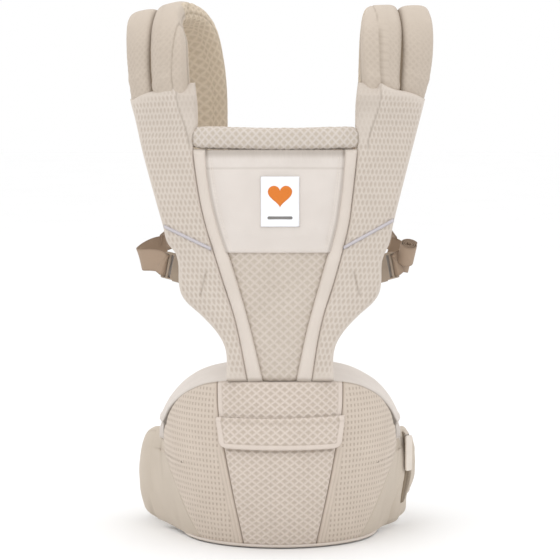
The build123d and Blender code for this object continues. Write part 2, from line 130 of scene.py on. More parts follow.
def ripple(x, y, seed, size):
    """Gentle repeatable waviness between about -1 and 1."""
    k = 2 * math.pi / size
    return (
        np.sin(k * x + 1.7 * seed) * np.cos(0.8 * k * y + 2.3 * seed)
        + 0.6 * np.sin(1.7 * k * x - 1.3 * k * y + 0.9 * seed)
        + 0.4 * np.cos(2.6 * k * y + 0.7 * k * x + 3.1 * seed)
    ) / 2.0


def alike(*values):
    """Arrays of numbers spread to one shape."""
    return np.broadcast_arrays(*(np.asarray(v, float) for v in values))


def stack(*parts):
    """Points from arrays of their numbers."""
    return np.stack(alike(*parts), -1)


def grid(rows, columns):
    return np.meshgrid(rows, columns, indexing="ij")


def unit(vectors):
    return vectors / np.linalg.norm(vectors, axis=-1, keepdims=True)


def panel_point(x, z, r):
    """Point of the leaning panel from its front outline (x, z) and its radius."""
    x, z, r = alike(x, z, r)
    y = PANEL_Y - np.sqrt(np.maximum(r * r - x * x, 1.0)) - HINGE_Y
    up = z - SEAM_Z
    return stack(x, HINGE_Y + y * math.cos(LEAN) + up * math.sin(LEAN),
                 SEAM_Z - y * math.sin(LEAN) + up * math.cos(LEAN))


def seat_radii(z):
    """Half width and reach of the seat's wall at a height."""
    return [interp([(level[0], level[i]) for level in SEAT_LEVELS], z) for i in (1, 2)]


def seat_point(x, z, grow):
    """Point of the seat's wall seen from the front at (x, z), moved outwards by grow."""
    x, z, grow = alike(x, z, grow)
    a, b = seat_radii(z)
    sine = np.clip(x / a, -1, 1)
    cosine = np.sqrt(1 - sine * sine)
    plan = stack(x, SEAT_Y - b * cosine) + unit(stack(sine * b, -cosine * a)) * grow[..., None]
    return np.concatenate([plan, z[..., None]], -1)


def belt_point(angle, z, grow):
    """Point of the belt ring: angle 0 is the front middle and grows towards +X, grow is outwards from its face."""
    angle, z, grow = alike(angle, z, grow)
    normal = unit(stack(np.sin(angle) / BELT_A, -np.cos(angle) / BELT_B))
    plan = stack(BELT_A * np.sin(angle), BELT_Y - BELT_B * np.cos(angle)) + normal * grow[..., None]
    return np.concatenate([plan, z[..., None]], -1)


def build(name, points, faces, flat, shade, material, body, *nodes):
    """Mesh object from points in millimetres, with its flat cloth coordinates and its shade, mostly painted shade at
    seams, creases, gaps and overhangs, as attributes.
    """
    name = f"soft_{name}"
    mesh = bpy.data.meshes.new(name)
    mesh.from_pydata((np.asarray(points) * MM).tolist(), [], faces)
    mesh.validate()
    for key, kind, field, values in (("flat", "FLOAT_VECTOR", "vector", flat), ("shade", "FLOAT", "value", shade)):
        layer = mesh.attributes.new(key, kind, "POINT")
        layer.data.foreach_set(field, np.asarray(values, np.float32).ravel())
    mesh.polygons.foreach_set("use_smooth", [True] * len(mesh.polygons))
    for one in material if isinstance(material, (list, tuple)) else [material]:
        mesh.materials.append(one)
    obj = bpy.data.objects.new(name, mesh)
    bpy.context.scene.collection.objects.link(obj)
    edit = bmesh.new()
    edit.from_mesh(mesh)
    bmesh.ops.recalc_face_normals(edit, faces=edit.faces)
    edit.to_mesh(mesh)
    edit.free()
    if body:
        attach(obj, body)
    if nodes:
        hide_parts(*nodes)
    return obj


def cushion(obj, slot, fill, *joint):
    """Bakes the piece's transform into its mesh if a joint is given, and returns it; its cloth and how full it is are
    not used.
    """
    if joint:
        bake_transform(obj)
    return obj


def grid_faces(rows, columns, wrap=False):
    """Quads of a grid of points; wrap joins the last column to the first."""
    faces = []
    for i in range(rows - 1):
        for j in range(columns if wrap else columns - 1):
            here, beside = i * columns + j, i * columns + (j + 1) % columns
            faces.append((here, beside, beside + columns, here + columns))
    return faces


def loop_shape(size, power):
    """Unit rounded rectangle as (s, t) pairs between -1 and 1; a higher power is squarer."""
    angle = np.arange(size) / size * 2 * math.pi
    s = np.sign(np.cos(angle)) * np.abs(np.cos(angle)) ** (2 / power)
    t = np.sign(np.sin(angle)) * np.abs(np.sin(angle)) ** (2 / power)
    return s, t


def path_through(stations, steps):
    """Catmull-Rom path through rows of numbers, sampled evenly in its parameter."""
    rows = np.array(stations, float)
    rows = np.concatenate([[2 * rows[0] - rows[1]], rows, [2 * rows[-1] - rows[-2]]])
    result = []
    spans = len(rows) - 3
    for s in np.linspace(0, spans, steps):
        i = min(int(s), spans - 1)
        t = s - i
        p0, p1, p2, p3 = rows[i:i + 4]
        result.append(0.5 * (2 * p1 + (p2 - p0) * t + (2 * p0 - 5 * p1 + 4 * p2 - p3) * t * t
                             + (3 * p1 - p0 - 3 * p2 + p3) * t ** 3))
    return np.array(result)


def path_frames(stations, steps):
    """Centre, across, normal, distance along and sizes of a strap's path; a station is six numbers or more."""
    rows = path_through(stations, steps)
    centre, across = rows[:, :3], rows[:, 3:6]
    tangent = unit(np.gradient(centre, axis=0))
    across = unit(across - tangent * np.sum(across * tangent, 1, keepdims=True))
    normal = np.cross(tangent, across)
    along = np.concatenate([[0], np.cumsum(np.linalg.norm(np.diff(centre, axis=0), axis=1))])
    return centre, across, normal, along, rows[:, 6:]


def stitches(name, lines, material, body):
    """Rows of small raised stitches along lines of points."""
    length, gap, radius = 2.4, 1.3, 0.26
    points, faces = [], []
    s = np.arange(6) / 6 * 2 * math.pi
    for line in lines:
        line = np.asarray(line, float)
        step = np.linalg.norm(np.diff(line, axis=0), axis=1)
        along = np.concatenate([[0], np.cumsum(step)])
        for start in np.arange(0.5, along[-1] - length, length + gap):
            a, b = [np.array([np.interp(d, along, line[:, k]) for k in range(3)]) for d in (start, start + length)]
            out = (b - a) / np.linalg.norm(b - a)
            side = np.cross(out, (0.0, 0.0, 1.0) if abs(out[2]) < 0.9 else (1.0, 0.0, 0.0))
            side /= np.linalg.norm(side)
            up = np.cross(side, out)
            base = len(points)
            for where, size in ((0.0, 0.45), (0.25, 1.0), (0.75, 1.0), (1.0, 0.45)):
                centre = a + (b - a) * where
                points += list(centre + radius * size * (np.outer(np.cos(s), side) + np.outer(np.sin(s), up)))
            faces += [tuple(base + corner for corner in quad) for quad in grid_faces(4, 6, wrap=True)]
            faces.append(tuple(base + j for j in reversed(range(6))))
            faces.append(tuple(base + 18 + j for j in range(6)))
    count = len(points)
    return build(name, points, faces, np.zeros((count, 3)), np.zeros(count), material, body)


def arcs(points):
    """Distances along the rows and along the columns of a grid of points."""
    s = np.concatenate([np.zeros((points.shape[0], 1)),
                        np.cumsum(np.linalg.norm(np.diff(points, axis=1), axis=-1), axis=1)], 1)
    t = np.concatenate([np.zeros((1, points.shape[1])),
                        np.cumsum(np.linalg.norm(np.diff(points, axis=0), axis=-1), axis=0)], 0)
    return s, t


def cloth(a, b, depth, to_space, zero=0.5):
    """Flat cloth coordinates of a grid, and each point's distance from its side edges and from its ends."""
    s, t = arcs(to_space(a, b, depth))
    origin = s[:, :1] + zero * (s[:, -1:] - s[:, :1])
    return s - origin, np.minimum(s, s[:, -1:] - s), np.minimum(t, t[-1:] - t)


def slab(name, a, b, front, back, to_space, material, body, *nodes, edge=5.0, shade=0.0, pattern=1.0, zero=0.5):
    """Closed soft slab over a grid, between a back and a front depth, rounded off at its edges."""
    rows, columns = a.shape
    front = np.broadcast_to(np.asarray(front, float), a.shape)
    back = np.broadcast_to(np.asarray(back, float), a.shape)
    middle, half = (front + back) / 2, (front - back) / 2
    x, across, along = cloth(a, b, middle, to_space, zero)
    near = np.clip(np.minimum(across, along) / edge, 0, 1)
    border = np.zeros(a.shape, bool)
    border[0] = border[-1] = border[:, 0] = border[:, -1] = True
    half = half * np.sqrt(np.maximum(1 - (1 - near) ** 2, 0))
    top = to_space(a, b, middle + half).reshape(-1, 3)
    low = to_space(a, b, middle - np.where(border, 0, half)).reshape(-1, 3)
    keep = ~border.ravel()
    index = np.where(keep, np.cumsum(keep) - 1 + rows * columns, np.arange(rows * columns))
    quads = grid_faces(rows, columns)
    under = [tuple(int(index[v]) for v in reversed(quad)) for quad in quads]
    flat = stack(x, b, pattern).reshape(-1, 3)
    shade = np.broadcast_to(shade, a.shape).ravel()
    return build(name, np.concatenate([top, low[keep]]), quads + under, np.concatenate([flat, flat[keep]]),
                 np.concatenate([shade, shade[keep]]), material, body, *nodes)


def rings(name, loops, flat, shade, material, body, *nodes, sides=None):
    """Closed tube through rings of points with domed ends; sides gives each ring quad a material index."""
    count, size = loops.shape[:2]
    points = loops.reshape(-1, 3)
    flat = np.broadcast_to(flat, (count, size, 3)).reshape(-1, 3)
    shade = np.broadcast_to(shade, (count, size)).ravel()
    faces = grid_faces(count, size, wrap=True)
    index = [0] * len(faces) if sides is None else list(np.broadcast_to(sides, (count - 1, size)).ravel())
    for ring, inward in ((0, 1), (count - 1, -1)):
        centre = loops[ring].mean(0)
        out = centre - loops[ring + inward].mean(0)
        spread = np.linalg.norm(loops[ring] - centre, axis=1).min()
        base = ring * size
        for scale, push in ((0.85, 0.25), (0.5, 0.42)):
            start = len(points)
            lift = out / max(np.linalg.norm(out), 1e-6) * spread * push
            points = np.concatenate([points, centre + (loops[ring] - centre) * scale + lift])
            flat = np.concatenate([flat, flat[ring * size:(ring + 1) * size]])
            shade = np.concatenate([shade, shade[ring * size:(ring + 1) * size]])
            faces += [(base + j, base + (j + 1) % size, start + (j + 1) % size, start + j) for j in range(size)]
            base = start
        faces.append(tuple(range(base, base + size)))
    obj = build(name, points, faces, flat, shade, material, body, *nodes)
    obj.data.polygons.foreach_set("material_index", index + [0] * (len(obj.data.polygons) - len(index)))
    return obj


# Cloth patterns, 1 on the raised yarns and 0 in the openings, and their repeats across and up.
LATTICE = (10.4, 8.6)
CENTRE_LATTICE = (10.7, 9.5)
ROLL_LATTICE = (8.6, 8.6)
HOLES = (5.3, 13.8)
DASHES = (5.3, 6.3)
LINING_HOLES = (3.6, 4.2)
STRAP_LATTICE = (8.8, 11.3)
BAND_WIDTH = 0.36
OVAL_X, OVAL_Z = 0.40, 0.29


def lattice(x, z, size=LATTICE):
    """Diamond lattice."""
    s, t = x / size[0] + z / size[1], x / size[0] - z / size[1]
    near = np.minimum(np.abs(s - np.floor(s) - 0.5), np.abs(t - np.floor(t) - 0.5))
    return 1 - ease(near / BAND_WIDTH)


def holes(x, z, size=HOLES):
    """Net of staggered upright ovals."""
    far = 9.0
    for shift in (0.0, 0.5):
        a, b = x / size[0] + shift, z / size[1] + shift
        far = np.minimum(far, ((a - np.round(a)) / OVAL_X) ** 2 + ((b - np.round(b)) / OVAL_Z) ** 2)
    return ease((np.sqrt(far) - 0.3) / 0.8)


def dashes(x, z, size=DASHES):
    """Level rows of short upright dashes."""
    a = ease((np.cos(2 * np.pi * (x / size[0] + 0.03 * z)) + 0.1) / 0.9)
    return 1 - a * ease((np.cos(2 * np.pi * z / size[1]) + 0.5) / 1.0)


def linear(r, g, b):
    """Scene colour of a screen colour given from 0 to 255."""
    return tuple(((c / 255 + 0.055) / 1.055) ** 2.4 if c > 10 else c / 255 / 12.92 for c in (r, g, b)) + (1.0,)


class Graph:
    """Small helper that adds nodes to a material and joins them."""

    def __init__(self, name):
        self.material = bpy.data.materials.new(name)
        self.material.use_nodes = True
        self.tree = self.material.node_tree
        self.shader = self.tree.nodes["Principled BSDF"]

    def add(self, kind, inputs=(), **settings):
        """New node; each input is a number, or another node's output."""
        node = self.tree.nodes.new(kind)
        for key, value in settings.items():
            setattr(node, key, value)
        for socket, value in dict(inputs).items():
            if isinstance(value, bpy.types.NodeSocket):
                self.tree.links.new(value, node.inputs[socket])
            else:
                node.inputs[socket].default_value = value
        return node

    def math(self, operation, a, b=0.0, c=0.0, clamp=False):
        return self.add("ShaderNodeMath", {0: a, 1: b, 2: c}, operation=operation, use_clamp=clamp).outputs[0]

    def remap(self, value, low, high, to_low=0.0, to_high=1.0, smooth=True):
        kind = "SMOOTHSTEP" if smooth else "LINEAR"
        return self.add("ShaderNodeMapRange", {0: value, 1: low, 2: high, 3: to_low, 4: to_high},
                        interpolation_type=kind).outputs[0]

    def mix(self, factor, a, b, blend="MIX"):
        node = self.add("ShaderNodeMix", {0: factor, 6: a, 7: b}, data_type="RGBA", blend_type=blend)
        return node.outputs[2]

    def noise(self, vector, scale, detail=2.0, rough=0.5):
        return self.add("ShaderNodeTexNoise", {"Vector": vector, "Scale": scale, "Detail": detail,
                                               "Roughness": rough}).outputs[0]

    def attribute(self, name):
        return self.add("ShaderNodeAttribute", attribute_name=name)

    def link(self, value, socket):
        self.tree.links.new(value, self.shader.inputs[socket])


def diamond_nodes(g, x, z, size):
    """The lattice() pattern as nodes."""
    u, v = g.math("DIVIDE", x, size[0]), g.math("DIVIDE", z, size[1])
    near = []
    for operation in ("ADD", "SUBTRACT"):
        wave = g.math("FRACT", g.math("ADD", g.math(operation, u, v), 1000.0))
        near.append(g.math("ABSOLUTE", g.math("SUBTRACT", wave, 0.5)))
    return g.remap(g.math("MINIMUM", *near), 0.0, BAND_WIDTH, 1.0, 0.0)


def hole_nodes(g, x, z, size):
    """The holes() pattern as nodes."""
    far = []
    for shift in (0.0, 0.5):
        parts = []
        for axis, period, reach in ((x, size[0], OVAL_X), (z, size[1], OVAL_Z)):
            wave = g.math("FRACT", g.math("MULTIPLY_ADD", axis, 1 / period, 1000.5 + shift))
            parts.append(g.math("POWER", g.math("DIVIDE", g.math("SUBTRACT", wave, 0.5), reach), 2.0))
        far.append(g.math("ADD", *parts))
    return g.remap(g.math("SQRT", g.math("MINIMUM", *far)), 0.3, 1.1)


def dash_nodes(g, x, z, size):
    """The dashes() pattern as nodes."""
    lean = g.math("MULTIPLY", z, 0.06 * math.pi)
    a = g.remap(g.math("COSINE", g.math("MULTIPLY_ADD", x, 2 * math.pi / size[0], lean)), -0.1, 0.8)
    b = g.remap(g.math("COSINE", g.math("MULTIPLY", z, 2 * math.pi / size[1])), -0.5, 0.5)
    return g.math("SUBTRACT", 1.0, g.math("MULTIPLY", a, b))


def weave_nodes(g, x, z, size):
    """Fine plain weave or rib of that yarn spacing."""
    a = g.math("SINE", g.math("MULTIPLY", x, 2 * math.pi / size[0]))
    b = g.math("SINE", g.math("MULTIPLY", z, 2 * math.pi / size[1]))
    return g.remap(g.math("MULTIPLY", a, b), -1.0, 1.0)


def twill_nodes(g, x, z, size):
    """Slanting ribs of woven webbing, with its two edges plain."""
    slope = g.math("ABSOLUTE", g.math("SUBTRACT", g.math("PINGPONG", x, size[0]), size[0] / 2))
    return g.remap(g.math("SINE", g.math("MULTIPLY", g.math("ADD", z, slope), 2 * math.pi / size[1])), -1.0, 1.0)


PATTERNS = {
    "lattice": diamond_nodes, "holes": hole_nodes, "dashes": dash_nodes, "weave": weave_nodes, "twill": twill_nodes,
}


def fabric(name, light, dark, pattern="weave", size=(1.6, 1.9), relief=0.25, fuzz=0.12, rough=0.86, sheen=0.22,
           mottle=0.05):
    """Cloth with raised light yarns over darker openings, a fine knit on top, wear, and the shade attribute: painted
    shade along seams, in creases and gaps and under overhanging parts, and in places the cloth's own darker tone.
    """
    g = Graph(name)
    flat = g.attribute("flat")
    parts = g.add("ShaderNodeSeparateXYZ", {0: flat.outputs["Vector"]})
    x, z, strength = parts.outputs
    yarn = PATTERNS[pattern](g, x, z, size)
    yarn = g.math("SUBTRACT", 1.0, g.math("MULTIPLY", g.math("SUBTRACT", 1.0, yarn), strength))
    fine = g.noise(flat.outputs["Vector"], 1.15, 3.0, 0.7)
    broad = g.noise(flat.outputs["Vector"], 0.028, 2.0, 0.5)
    colour = g.mix(yarn, linear(*dark), linear(*light))
    tone = g.math("ADD", g.remap(fine, 0.25, 0.75, 1 - mottle, 1 + mottle, False),
                  g.remap(broad, 0.3, 0.7, -0.025, 0.025, False))
    # Painted shade: the shade attribute darkens the colour, warmer as it darkens.
    shade = g.math("SUBTRACT", 1.0, g.attribute("shade").outputs["Fac"], clamp=True)
    tone = g.math("MULTIPLY", tone, shade)
    tint = g.add("ShaderNodeCombineColor", {0: tone, 1: g.math("POWER", tone, 1.08), 2: g.math("POWER", tone, 1.18)})
    g.link(g.mix(1.0, colour, tint.outputs[0], "MULTIPLY"), "Base Color")
    g.link(g.remap(fine, 0.2, 0.8, rough - 0.05, min(rough + 0.08, 1.0), False), "Roughness")
    height = g.math("MULTIPLY_ADD", yarn, relief, g.math("MULTIPLY", fine, fuzz))
    bump = g.add("ShaderNodeBump", {"Height": height, "Distance": MM, "Strength": 1.0})
    g.link(bump.outputs[0], "Normal")
    g.shader.inputs["Sheen Weight"].default_value = sheen
    g.shader.inputs["Sheen Roughness"].default_value = 0.55
    g.shader.inputs["Sheen Tint"].default_value = linear(255, 246, 236)
    g.shader.inputs["Specular IOR Level"].default_value = 0.25
    return g.material


def solid(name, colour, rough=0.5, metal=0.0, bump=0.05):
    """Moulded or metal finish with a fine grain and slightly lighter, smoother wear."""
    g = Graph(name)
    place = g.add("ShaderNodeTexCoord").outputs["Object"]
    fine = g.noise(place, 900.0, 3.0, 0.6)
    broad = g.noise(place, 35.0, 3.0, 0.6)
    tone = g.math("ADD", g.remap(fine, 0.3, 0.7, 0.97, 1.03, False), g.remap(broad, 0.35, 0.7, -0.06, 0.06))
    tint = g.add("ShaderNodeCombineColor", {0: tone, 1: tone, 2: tone})
    g.link(g.mix(1.0, linear(*colour), tint.outputs[0], "MULTIPLY"), "Base Color")
    g.link(g.remap(broad, 0.3, 0.7, rough + 0.07, rough - 0.07), "Roughness")
    node = g.add("ShaderNodeBump", {"Height": fine, "Distance": bump * MM, "Strength": 0.6})
    g.link(node.outputs[0], "Normal")
    g.shader.inputs["Metallic"].default_value = metal
    return g.material


WING_MESH = fabric("wing_mesh", (203, 193, 183), (186, 174, 162), "holes", HOLES, 0.45)
CENTRE_MESH = fabric("centre_mesh", (200, 189, 179), (186, 175, 162), "lattice", CENTRE_LATTICE, 0.4)
ROLL_MESH = fabric("roll_mesh", (203, 194, 186), (186, 175, 162), "lattice", ROLL_LATTICE, 0.4)
SEAT_MESH = fabric("seat_mesh", (209, 197, 187), (188, 175, 162), "lattice", LATTICE, 0.5)
SIDE_MESH = fabric("side_mesh", (201, 188, 175), (179, 165, 151), "dashes", DASHES, 0.45)
KHAKI_MESH = fabric("khaki_mesh", (207, 192, 172), (191, 176, 155), "lattice", STRAP_LATTICE, 0.45)
KHAKI = fabric("khaki_cloth", (186, 168, 147), (176, 158, 137), "weave", (1.4, 1.4), 0.1)
STRAP_KNIT = fabric("strap_knit", (196, 184, 171), (188, 175, 161), "weave", (1.5, 1.2), 0.12, 0.16)
CREAM = fabric("cream_cloth", (215, 208, 202), (209, 200, 193), "weave", (0.9, 0.9), 0.06, 0.05, 0.82, 0.25, 0.02)
TRIM_CREAM = fabric("trim_cloth", (212, 202, 193), (204, 194, 184), "weave", (1.0, 1.0), 0.06, 0.05, 0.78, 0.3, 0.02)
BELT_CLOTH = fabric("belt_cloth", (196, 184, 169), (187, 175, 161), "weave", (0.8, 0.8), 0.05, 0.06, 0.8, 0.2, 0.03)
# The zip tape's taupe, darkened with painted shade for the inside of the open zip.
POCKET_CLOTH_SHADED = fabric("pocket_cloth_shaded", (150, 136, 118), (126, 112, 95), "weave", (1.0, 1.0), 0.08, 0.06, 0.85, 0.15)
LINING = fabric("lining_mesh", (224, 216, 207), (203, 193, 181), "holes", LINING_HOLES, 0.3)
WEBBING = fabric("webbing", (159, 138, 119), (138, 117, 99), "twill", (12.5, 2.6), 0.22, 0.08, 0.72, 0.15, 0.06)
TAPE = fabric("hook_tape", (226, 218, 210), (196, 186, 176), "weave", (0.9, 0.9), 0.4, 0.35, 0.95, 0.1, 0.1)
THREAD = fabric("thread", (226, 217, 207), (206, 195, 183), "weave", (0.6, 0.6), 0.05, 0.05, 0.7, 0.1, 0.04)
LABEL_CLOTH = fabric("label_cloth", (245, 246, 249), (236, 237, 241), "weave", (0.7, 0.7), 0.05, 0.03, 0.6, 0.1, 0.01)
MOTIF_ORANGE = fabric("motif_orange", (226, 132, 52), (208, 112, 36), "weave", (0.7, 0.7), 0.08, 0.03, 0.6, 0.1, 0.04)
MOTIF_GREY = fabric("motif_grey", (140, 138, 136), (112, 110, 108), "weave", (0.7, 0.7), 0.08, 0.03, 0.6, 0.1, 0.04)
STRIPE = fabric("reflective_tape", (200, 195, 198), (184, 179, 184), "weave", (0.6, 0.6), 0.05, 0.02, 0.35, 0.0, 0.03)
PLASTIC = solid("taupe_plastic", (153, 136, 118), 0.42)
BOARD = solid("board_plastic", (120, 116, 110), 0.6)
ZIP_METAL = solid("zip_metal", (150, 140, 128), 0.35, 0.7, bump=0.02)
PULL = solid("pull_cream", (224, 214, 203), 0.5)


def spread(low, high, pitch):
    """Even steps from low to high, about one pitch apart."""
    return np.linspace(low, high, int(abs(high - low) / pitch) + 2)


# Panel
def panel_patch(low, high, left, right, pitch=1.05):
    """Grid of outline points between two heights and two edges, which are functions of the height."""
    z = spread(low, high, pitch)
    z, u = grid(z, spread(0, 1, pitch / np.max(np.abs(right(z) - left(z)))))
    return left(z) + (right(z) - left(z)) * u, z


def trim_in(z, side):
    return interp(TRIM_INNER, z) - (side > 0) * interp(TWIST, z)


def trim_out(z, side):
    return interp(TRIM_OUTER, z) - (side > 0) * interp(TWIST, z)


# Radii at which the cloth of the panel's layers is measured, and heights of its parts.
CENTRE_R, WING_R, POUCH_R, LINING_R = 257.0, 258.0, 262.0, 246.0
PANEL_FOOT, PANEL_HEAD, WING_HEAD = 194.0, 449.0, 528.0
HEM_Z = 431.5
SHOULDER_Z = 455
# Joint of the panel on the seat, at the seat seam between these two points.
FOLD = ("seat", "panel", (0.0, HINGE_Y * MM, 0.189), (0.0, HINGE_Y * MM, 0.222))

x, z = panel_patch(PANEL_FOOT, PANEL_HEAD, lambda h: -trim_in(h, -1) - 3, lambda h: trim_in(h, 1) + 3)
s, across, _ = cloth(x, z, CENTRE_R, panel_point)
front = 255.4 + 1.6 * ease(across / 16) + 0.4 * lattice(s, z, CENTRE_LATTICE) + 0.25 * ripple(s, z, 1, 70)
# Painted shade along the sides, where the mesh tucks under the trims, and along the seat seam.
shade = 0.30 * groove(across - 3, 2.2) + 0.35 * groove(z - 196, 2.5)
centre = slab("panel_mesh", x, z, front, 248.4, panel_point, CENTRE_MESH, None, "panel_mesh", edge=2.0, shade=shade)
cushion(centre, "mesh_knit", 0.7, *FOLD)

for side, word in ((-1, "left"), (1, "right")):
    x, z = panel_patch(193.5, 453.5, lambda h: side * (trim_in(h, side) - 0.6),
                       lambda h: side * (trim_out(h, side) + 0.6), 1.6)
    s, across, _ = cloth(x, z, WING_R, panel_point)
    front = 260.6 + 0.3 * ripple(s, z, 2 + side, 46) - 1.2 * groove(z - PANEL_FOOT, 3.0)
    # Painted shade along the trim's edge seam and along the seat seam.
    shade = 0.14 * groove(across, 0.8) + 0.3 * groove(z - SEAM_Z, 2.0)
    trim = slab(f"panel_trim_{word}", x, z, front, 249.5, panel_point, TRIM_CREAM, None, "panel_trims",
                edge=7.0, shade=shade)
    cushion(trim, "cream_knit", 0.8, *FOLD)

    # Mesh wing up to the strap seams, with darts, a facing seam by the neck and a few soft creases.
    v, u = grid(spread(0, 1, 1.05 / 326), spread(0, 1, 1.1 / 60))
    rise = np.clip((u - 0.33) / 0.67, 0, 1)
    z = PANEL_FOOT + v * (WING_HEAD - 16.5 * rise - 1.5 * np.sin(2 * math.pi * rise) - PANEL_FOOT)
    inner, outer = interp(WING_IN, z), interp(WING_OUT[side], z)
    if side > 0:
        inner = inner - interp(TWIST, z)
    x = side * (inner + (outer - inner) * u)
    s, across, along = cloth(x, z, WING_R, panel_point)
    px = np.abs(x)
    neck = 101.5 + 14.5 * ease((z - SHOULDER_Z) / 60) - (side > 0) * 3.0
    facing = groove(px - neck, 0.9) * ease((z - 448) / 12)
    dart = groove(px - (86.0 + 0.24 * (302 - z)), 1.1) * ease((z - 287) / 4) * ease((318 - z) / 4)
    plain = ease((across - 1.5) / 2.5) * ease((along - 2.0) / 12.0) * (1 - 0.8 * facing)
    plain = plain * (1 - 0.65 * ease((neck - px) / 4) * ease((z - SHOULDER_Z) / 12))
    crease = sum(high * groove((px - a) * math.sin(t) + (z - b) * math.cos(t), wide)
                 * groove((px - a) * math.cos(t) - (z - b) * math.sin(t), long)
                 for a, b, t, wide, long, high in ((74, 236, 0.5, 4, 22, -0.9), (80, 252, 0.7, 5, 26, 0.8),
                                                   (66, 214, 0.3, 4, 18, 0.7), (142, 500, -0.2, 4, 18, 0.9),
                                                   (124, 506, 0.3, 3.5, 14, -0.8), (102, 300, 1.0, 5, 22, 0.7)))
    thick = (1.2 + 9.0 * (1 - (px - 112) / 54)) * ease((z - 462) / 55)
    thick = thick * (1 - 0.35 * ease((z - 506) / 18))
    thick = thick - 3.5 * ease((neck - px) / 18) ** 0.8 * ease((z - 462) / 40)
    thick = thick - 8.0 * ease((z - 512) / 15) * ease((neck - px) / 4)
    front = (258.6 + thick + 0.35 * holes(s, z) * plain + crease - 0.9 * facing - 1.1 * dart
             + 0.8 * ease(across / 14) + 0.35 * ripple(s, z, 5 + side, 85))
    back = 248.2 - 5.0 * ease((z - SHOULDER_Z) / 50)
    # Painted shade in the inner seam, the facing seam and the darts, and at the panel's foot; the last term darkens
    # the strip by the neck to the strap cloth's own tone.
    shade = (0.15 * groove(np.abs(px - inner), 1.0) * (z < 452) + 0.25 * facing + 0.22 * dart
             + 0.2 * groove(along, 1.6) * (z < 400) + 0.25 * groove(z - PANEL_FOOT, 3)
             + 0.10 * ease((z - 478) / 30) * ease((neck - px) / 3))
    wing = slab(f"panel_wing_{word}", x, z, front, back, panel_point, WING_MESH, None, f"panel_wing_{word}",
                edge=5.5, shade=shade, pattern=plain, zero=0.0)
    cushion(wing, "mesh_knit", 0.75, *FOLD)

    # Reflective tape across the wing.
    a, b = grid(spread(0, 1, 0.02), (0.0, 0.3, 0.7, 1.0))
    (x1, z1), (x2, z2) = ((130.8, 365.0), (76.8, 339.6)) if side < 0 else ((128.0, 372.0), (70.8, 341.0))
    x, z = side * (x1 + (x2 - x1) * a), z1 + (z2 - z1) * a + 4.2 * b
    stripe = slab(f"reflective_stripe_{word}", x.T, z.T, 261.4, 260.0, panel_point, STRIPE, "panel",
                  "reflective_stripes", edge=0.5)


# Stowed hood under its cream pouch
def pouch_depth(x, z):
    """Height of the pouch face: a soft pillow over the rolled hood, pulled in at the hem and the lower seam."""
    across = cloth(x, z, POUCH_R, panel_point)[1]
    fill = ease(across / 22) * ease((z - 338) / 26) * ease((437 - z) / 30)
    face = 260.6 + 3.0 * fill + 0.45 * ripple(x, z, 3, 58) * fill
    face = face + 0.4 * groove((z - 352) - 0.1 * x, 5) * fill
    gathers = np.sin(x * 0.9 + 1.4 * np.sin(x * 0.21)) * ease((z - 433) / 12)
    return face + 0.4 * gathers - 0.6 * groove(z - HEM_Z, 1.1), across


x, z = panel_patch(337.5, 452.5, lambda h: -trim_in(h, -1) - 2, lambda h: trim_in(h, 1) + 2, 1.2)
front, across = pouch_depth(x, z)
# Painted shade along the side seams and the hem, and a painted shadow at the top under the head roll.
shade = 0.3 * groove(across - 2, 1.6) + 0.16 * groove(z - HEM_Z, 0.8) + 0.3 * ease((z - 441) / 8)
pouch = slab("hood_pouch", x, z, front, 256.0, panel_point, CREAM, "panel", "hood_pouch", "stowed_hood",
             edge=1.6, shade=shade)
cushion(pouch, "cream_knit", 0.6)

lines = []
for side in (-1, 1):
    for inset in (3.4, 5.6):
        z = spread(340, 446, 2.0)
        x = side * (trim_in(z, side) - inset)
        lines.append(panel_point(x, z, pouch_depth(np.stack([x, x]), np.stack([z, z]))[0][0] + 0.15))
x = spread(-50, 50, 2.0)
lines.append(panel_point(x, np.full_like(x, 340.8), 260.8))
seams = stitches("pouch_stitching", lines, THREAD, "panel")

# Label with a plain motif
x, z = np.meshgrid(spread(-21.5, 21.5, 1.2), spread(366.5, 422.5, 1.2))
label = slab("label", x, z, 265.6, 264.2, panel_point, LABEL_CLOTH, "panel", "label", edge=0.8)


def emblem(name, outline, material, low=265.5, high=266.0):
    """Thin woven shape on the label from its outline."""
    outline = np.array(outline, float)
    middle = outline.mean(0)
    count = len(outline)
    rows = [middle + (outline - middle) * k for k in (0.0, 0.35, 0.7, 0.93, 1.0)]
    lift = [high, high, high, high, low]
    points = np.concatenate([panel_point(r[:, 0], r[:, 1], h) for r, h in zip(rows, lift)])[count - 1:]
    flat = np.concatenate([np.column_stack([r, np.ones(count)]) for r in rows])[count - 1:]
    faces = [(0, 1 + j, 1 + (j + 1) % count) for j in range(count)]
    for k in range(3):
        for j in range(count):
            a, b = 1 + k * count + j, 1 + k * count + (j + 1) % count
            faces.append((a, a + count, b + count, b))
    faces.append(tuple(1 + 3 * count + j for j in range(count)))
    obj = build(name, points, faces, flat, np.zeros(len(points)), material, "panel")
    return obj


t = np.arange(72) / 72 * 2 * math.pi
heart = np.column_stack([16 * np.sin(t) ** 3,
                         13 * np.cos(t) - 5 * np.cos(2 * t) - 2 * np.cos(3 * t) - np.cos(4 * t)])
emblem("label_heart", heart * 0.86 + (0, 402.0), MOTIF_ORANGE)
bar = np.column_stack([np.sign(np.cos(t)) * 12.5 + 1.7 * np.cos(t), 376.5 + 1.7 * np.sin(t)])
emblem("label_bar", bar, MOTIF_GREY)

